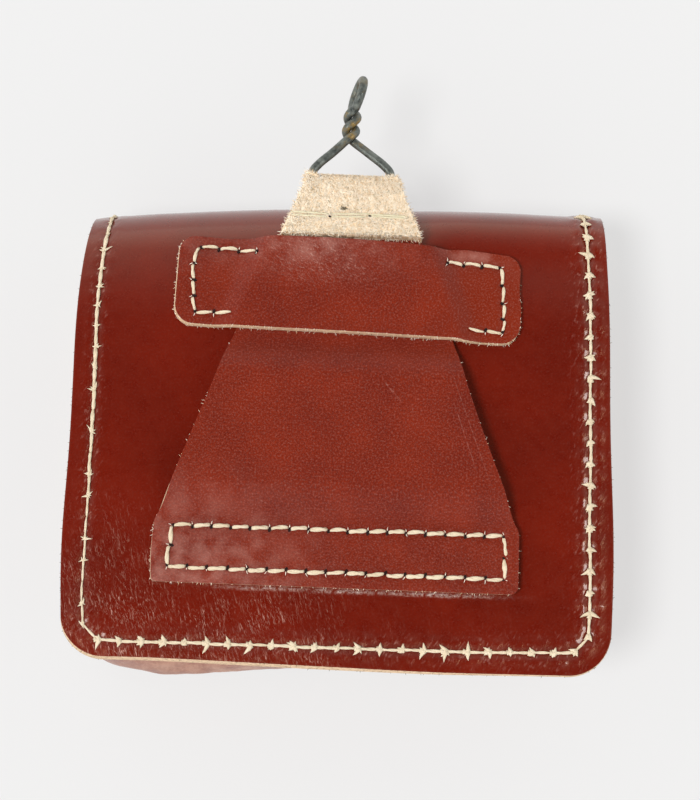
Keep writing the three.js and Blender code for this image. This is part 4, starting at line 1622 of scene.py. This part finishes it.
class POUCH_OT_seams(bpy.types.Operator):
    """Sews the strap, the keeper, the fold and the front wall"""

    bl_idname = "pouch.seams"
    bl_label = "Other Seams"

    def execute(self, context):
        sizes, colours = context.scene.pouch_sizes, context.scene.pouch_colours
        chance = random.Random(sizes.seed + 1)
        self.sew_boxes(sizes, colours, chance)
        self.sew_fold(sizes, colours, chance)
        self.sew_front(colours, chance)
        return {"FINISHED"}

    def sew_boxes(self, sizes, colours, chance):
        """The strap's box of stitches and the keeper's two seams, whose thread has torn the grain."""

        def strap_place(x, y, lift):
            return on_strap_leather(sizes, x, y, sizes.strap_thick / 2 + lift)

        def keeper_place(x, y, lift):
            return on_keeper(sizes, x, y, lift)

        def uneven(seam):
            return [hole + strayed(chance, 1, 1) * 0.16 * MM for hole in sewn(seam)]

        seams = [(uneven(STRAP_BOX), strap_place, STRAP_BOX_MIDDLE, sizes.strap_thread)]
        for seam in KEEPER_SEAMS:
            centre = Vector((math.copysign(KEEPER_SEAM_MIDDLE, seam[0][0]), 0))
            seams.append((uneven(seam), keeper_place, centre, 0.8 * sizes.strap_thread))
        threads, fluff, slits = Threads(), Threads(), Threads()
        for holes, place, centre, thick in seams:
            for start, end in zip(holes, holes[1:]):
                run = (end - start).normalized()
                side = run.orthogonal()
                inward = side if side.dot(centre - start) > 0 else -side
                # Each stitch slants a little, from the inner side of a hole to the outer side of the next.
                short = run * 0.42 * MM - inward * 0.18 * MM
                lean = -inward * chance.uniform(0.05, 0.3) * MM
                add_stitch(
                    threads, start + short, end - short, place, chance, thick,
                    rise=0.34 * MM, sink=0.22 * MM, lean=lean,
                )
                slit = (side + run * 0.35).normalized()
                add_hole(slits, start + inward * 0.3 * MM, slit, place, chance, size=1.3)
                for way, likely in ((inward, 0.25), (-inward, 0.8)):
                    if chance.random() < likely:
                        turned = (way + run * chance.uniform(-0.6, 0.6)).normalized()
                        reach = chance.uniform(0.5, 1.0) * MM
                        foot = start + way * 0.4 * MM
                        add_barb(fluff, foot, turned, place, chance, reach, base=0.14 * MM, height=0.3 * MM)
        threads.piece("strap_thread", linen(colours), "linen_thread", 6)
        torn = finished("torn_grain", fibre, colours.suede, colours.wax_bloom_and_glint, 0.9)
        fluff.piece("strap_thread_ends", torn, "linen_thread", 5)
        slits.piece("awl_holes", finished("awl_hole", shaded_hole, colours), "strap_leather", 8)

    def sew_fold(self, sizes, colours, chance):
        """The row that holds the fold shut, half buried in the nap."""

        def place(x, back, lift):
            return on_strap_leather(sizes, x, turned_at(sizes) + back, -sizes.strap_thick / 2 - lift)

        row, slits = Threads(), Threads()
        back = FOLD_AXIS - FOLD_ROW
        holes = [Vector((x * MM, back + 0.25 * MM * math.sin(x))) for x in FOLD_HOLES]
        for start, end in zip(holes, holes[1:]):
            for slip in (-0.3, 0.35):
                shift = strayed(chance, 0.6, 0.2) * MM + Vector((0, slip * MM))
                add_stitch(
                    row, start + shift, end + shift, place, chance,
                    thick=0.55 * MM, rise=0.27 * MM, sink=0.2 * MM,
                )
        for hole in holes[1:-1]:
            at = hole + Vector((0, chance.uniform(0.2, 0.7) * MM))
            add_hole(slits, at, Vector((1, 0.3)), lambda x, y, _: place(x, y, 0.3 * MM), chance, size=0.75)
        slits.piece("fold_holes", finished("awl_hole", shaded_hole, colours), "suede", 8)
        buried = finished("soiled_linen", fibre, colours.buried, colours.buried_shade)
        row.piece("fold_thread", buried, "linen_thread", 5)

    def sew_front(self, colours, chance):
        """The front wall's seam, plain and pulled flat."""
        row = Threads()
        holes = front_seam()
        for start, end in zip(holes, holes[1:]):
            add_stitch(
                row, start, end, on_front_wall, chance, thick=0.85 * MM, rise=0.12 * MM, sink=0.25 * MM
            )
        row.piece("front_thread", linen(colours), "linen_thread", 5)


# ---- Nap and frayed edges ----
NAP_COUNT = 6500
NAP_FROM = 0.45  # how much of its turn over the wire the leather has made where its nap first shows
DIRTY_SHARE = 0.06
SMUDGE_COUNT = 26
# Frayed edges: the piece, how many fibres, their length in millimetres, and where on its edge they stand.
CLEAN_FRAYS = (
    ("strap_leather", 1500, 1.1, lambda at: at.z > 49 * MM and at.y > 49 * MM),
    ("strap_leather", 160, 0.7, lambda at: at.y < 48 * MM),
    ("keeper_leather", 320, 0.7, lambda at: at.y < 38 * MM or at.x < -42 * MM),
)
SOILED_FRAYS = (
    ("panel_and_flap", 300, 0.55, lambda at: at.z > 4 * MM),
    ("strap_leather", 55, 0.7, lambda at: at.y > 49 * MM),
    ("keeper_leather", 60, 0.6, lambda at: at.x > 0),
)


def raise_nap(sizes, chance):
    """The nap of the suede that shows where the strap is folded: most fibres clean, a few dirty."""
    nap = Threads()
    turned = turned_at(sizes)
    for _ in range(NAP_COUNT):
        cut = chance.uniform(lerp(FOLD_AXIS, turned, NAP_FROM), strap_end(sizes) - 0.8 * MM)
        x = trim_strap(sizes, chance.uniform(-STRAP_HALF, STRAP_HALF), cut)[0]
        ear = cut < turned and abs(x) > SLEEVE_HALF
        if ear and turned - cut > EAR_LENGTH - 0.6 * MM:
            continue
        if ear:
            x, cut = trim_ear(sizes, x, cut)
        far = sizes.nap * chance.uniform(0.5, 1.25)
        step = toward(chance.gauss(math.pi / 2, 0.9)) * far
        rise = chance.uniform(0.12, 0.5) * MM
        bed = skived(sizes, cut) - sizes.strap_thick / 2
        spine = [
            on_strap_leather(sizes, x + step.x * share, cut + step.y * share, bed - rise * height, ear)
            for share, height in ((0, -0.4), (0.5, 0.7), (1, 1.0))
        ]
        clean = chance.random() > DIRTY_SHARE
        tint = chance.uniform(0.6, 1.25) if clean else chance.uniform(0, 0.5)
        nap.add(spine, [0.08 * MM, 0.075 * MM, 0.02 * MM], tint)
    return nap


def frays(table, chance):
    """Fibres that stand out of the cut edges of pieces."""
    threads = Threads()
    for name, count, reach, wanted in table:
        faces = bpy.data.objects[name].data.polygons
        rim = [face for face in faces if face.material_index == EDGE and wanted(face.center)]
        for face in chance.choices(rim, k=count):
            way = (face.normal + strayed(chance, 0.8, 0.8, 0.8)).normalized()
            far = reach * MM * chance.uniform(0.4, 1.2)
            bow = strayed(chance, 0.3, 0.3, 0.3) * far
            start = face.center - face.normal * 0.1 * MM
            spine = [start, start + way * far * 0.5 + bow * 0.3, start + way * far + bow]
            threads.add(spine, [0.085 * MM, 0.07 * MM, 0.02 * MM], chance.uniform(0.5, 1.4))
    return threads


def add_smudge(threads, sizes, chance):
    """A smudge of dirty fibres in the nap of the fold, below the wire."""
    for _ in range(SMUDGE_COUNT):
        spot = Vector((chance.gauss(-1.9, 0.5), chance.gauss(100.9, 0.2))) * MM
        cut = turned_at(sizes) + FOLD_AXIS - spot.y
        step = strayed(chance, 0.5, 0.3) * MM
        spine = []
        for share in (-1, 0, 1):
            height = sizes.strap_thick / 2 + (0.3 + 0.12 * share) * MM
            spine.append(on_strap_leather(sizes, spot.x + step.x * share, cut + step.y * share, -height))
        threads.add(spine, [0.04 * MM, 0.07 * MM, 0.03 * MM], 1.0)


class POUCH_OT_fibres(bpy.types.Operator):
    """Raises the nap of the suede and frays the cut edges"""

    bl_idname = "pouch.fibres"
    bl_label = "Nap and Frays"

    def execute(self, context):
        sizes, colours = context.scene.pouch_sizes, context.scene.pouch_colours
        chance = random.Random(sizes.seed + 2)
        hide = finished("suede_nap", suede_fibre, colours)
        raise_nap(sizes, chance).piece("suede_nap", hide, "suede", 3)
        frays(CLEAN_FRAYS, chance).piece("edge_frays", hide, "suede", 3)
        dirty = frays(SOILED_FRAYS, chance)
        add_smudge(dirty, sizes, chance)
        soiled = finished("soiled_fibre", fibre, colours.soiled, colours.soiled_dark, 0.9)
        dirty.piece("soiled_frays", soiled, "suede", 3)
        return {"FINISHED"}


# ---- The stage ----
CAMERA_AT = Vector((2.35, 7.72, 46)) * MM  # where the camera points
CAMERA_DISTANCE = 850 * MM
CAMERA_TILT = 8 * DEGREE
CAMERA_ROLL = 1.35 * DEGREE
CAMERA_LENS = 164.6
SENSOR_WIDTH = 36
TABLE_HALF = 3
TENT_WHITE = (1, 0.985, 0.965, 1)
LAMP_ANGLE = 15 * DEGREE
LEFT_LAMP = Vector((-0.84, -0.54))  # the way to a lamp, seen from above
RIGHT_LAMP = Vector((0.97, -0.24))


class POUCH_OT_stage(bpy.types.Operator):
    """Sets the table, the light tent, the lamps and the camera"""

    bl_idname = "pouch.stage"
    bl_label = "Stage"

    def execute(self, context):
        scene = context.scene
        scene.view_settings.view_transform = "Standard"
        self.set_table(scene)
        self.set_tent(scene)
        self.set_lamps(scene)
        self.set_camera(scene)
        return {"FINISHED"}

    def set_table(self, scene):
        """A wide table that touches the lowest point of the pouch."""
        bm = bmesh.new()
        level = Matrix.Translation((0, 0, min(corner.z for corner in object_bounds())))
        bmesh.ops.create_grid(bm, x_segments=1, y_segments=1, size=TABLE_HALF, matrix=level)
        table = bpy.data.objects.new("table", to_mesh(bm, "table"))
        table.data.materials.append(finished("pale_table", pale_table, scene.pouch_colours))
        scene.collection.objects.link(table)
        table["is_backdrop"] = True

    def set_tent(self, scene):
        """White walls all round, open and dark overhead, where the camera looks down through the roof."""
        world = bpy.data.worlds.new("light_tent")
        world.use_nodes = True
        tree = world.node_tree
        tree.nodes.clear()
        way = add_node(tree, "ShaderNodeTexCoord", output=0)
        upward = along_axis(tree, way, 2)
        roof = ramp(tree, times(tree, upward, upward), 0, 1, 1, 0)
        side = ramp(tree, along_axis(tree, way, 0), -0.4, 0.4, 1.15, 0.95)
        strength_now = times(tree, roof, side, scene.pouch_light.tent)
        background = add_node(tree, "ShaderNodeBackground", {"Color": TENT_WHITE, "Strength": strength_now})
        add_node(tree, "ShaderNodeOutputWorld", {"Surface": background})
        scene.world = world

    def set_lamps(self, scene):
        """The key lamp lights the pouch. The two lower glint lamps only show in polished leather."""
        light = scene.pouch_light
        for name, energy, height, side in (
            ("key", light.key, light.key_height, LEFT_LAMP),
            ("glint_left", light.glint, 53 * DEGREE, LEFT_LAMP),
            ("glint_right", light.glint, 55 * DEGREE, RIGHT_LAMP),
        ):
            lamp = bpy.data.lights.new(name, "SUN")
            lamp.energy = energy
            lamp.angle = LAMP_ANGLE
            holder = bpy.data.objects.new(name, lamp)
            holder.visible_glossy = name != "key"
            holder.visible_diffuse = name == "key"
            way = Vector((*(side * math.cos(height)), math.sin(height)))
            holder.rotation_euler = way.to_track_quat("Z", "Y").to_euler()
            scene.collection.objects.link(holder)

    def set_camera(self, scene):
        """A long lens, nearly overhead, tilted towards the flap's bend and rolled a little."""
        data = bpy.data.cameras.new("camera")
        data.lens = CAMERA_LENS
        data.sensor_width = SENSOR_WIDTH
        data.sensor_fit = "HORIZONTAL"
        data.clip_start = 0.05
        data.clip_end = 20
        camera = bpy.data.objects.new("camera", data)
        level = Vector((0, math.cos(CAMERA_TILT), math.sin(CAMERA_TILT)))
        sideways = Vector((1, 0, 0))
        right = sideways * math.cos(CAMERA_ROLL) + level * math.sin(CAMERA_ROLL)
        up = level * math.cos(CAMERA_ROLL) - sideways * math.sin(CAMERA_ROLL)
        backward = right.cross(up)
        turn = Matrix((right, up, backward)).transposed().to_4x4()
        camera.matrix_world = Matrix.Translation(CAMERA_AT + backward * CAMERA_DISTANCE) @ turn
        scene.collection.objects.link(camera)
        scene.camera = camera


class POUCH_PT_build(bpy.types.Panel):
    """Lists the pouch's pieces and what may be changed"""

    bl_idname = "POUCH_PT_build"
    bl_label = "Cartridge Pouch"
    bl_space_type = "VIEW_3D"
    bl_region_type = "UI"
    bl_category = "Pouch"

    def draw(self, context):
        column = self.layout.column(align=True)
        for operator in OPERATORS:
            column.operator(operator.bl_idname)
        for group in (context.scene.pouch_sizes, context.scene.pouch_colours, context.scene.pouch_light):
            column.separator()
            for name in group.__annotations__:
                column.prop(group, name)


OPERATORS = (
    POUCH_OT_panel, POUCH_OT_body, POUCH_OT_strap, POUCH_OT_keeper, POUCH_OT_hanger, POUCH_OT_stud,
    POUCH_OT_border, POUCH_OT_seams, POUCH_OT_fibres, POUCH_OT_stage,
)
CLASSES = (PouchColours, PouchSizes, PouchLight, *OPERATORS, POUCH_PT_build)


def register():
    for cls in CLASSES:
        bpy.utils.register_class(cls)
    bpy.types.Scene.pouch_colours = bpy.props.PointerProperty(type=PouchColours)
    bpy.types.Scene.pouch_sizes = bpy.props.PointerProperty(type=PouchSizes)
    bpy.types.Scene.pouch_light = bpy.props.PointerProperty(type=PouchLight)


def unregister():
    del bpy.types.Scene.pouch_light
    del bpy.types.Scene.pouch_sizes
    del bpy.types.Scene.pouch_colours
    for cls in reversed(CLASSES):
        bpy.utils.unregister_class(cls)


def main():
    register()
    for operator in OPERATORS:
        group, name = operator.bl_idname.split(".")
        getattr(getattr(bpy.ops, group), name)()


if __name__ == "__main__":
    main()
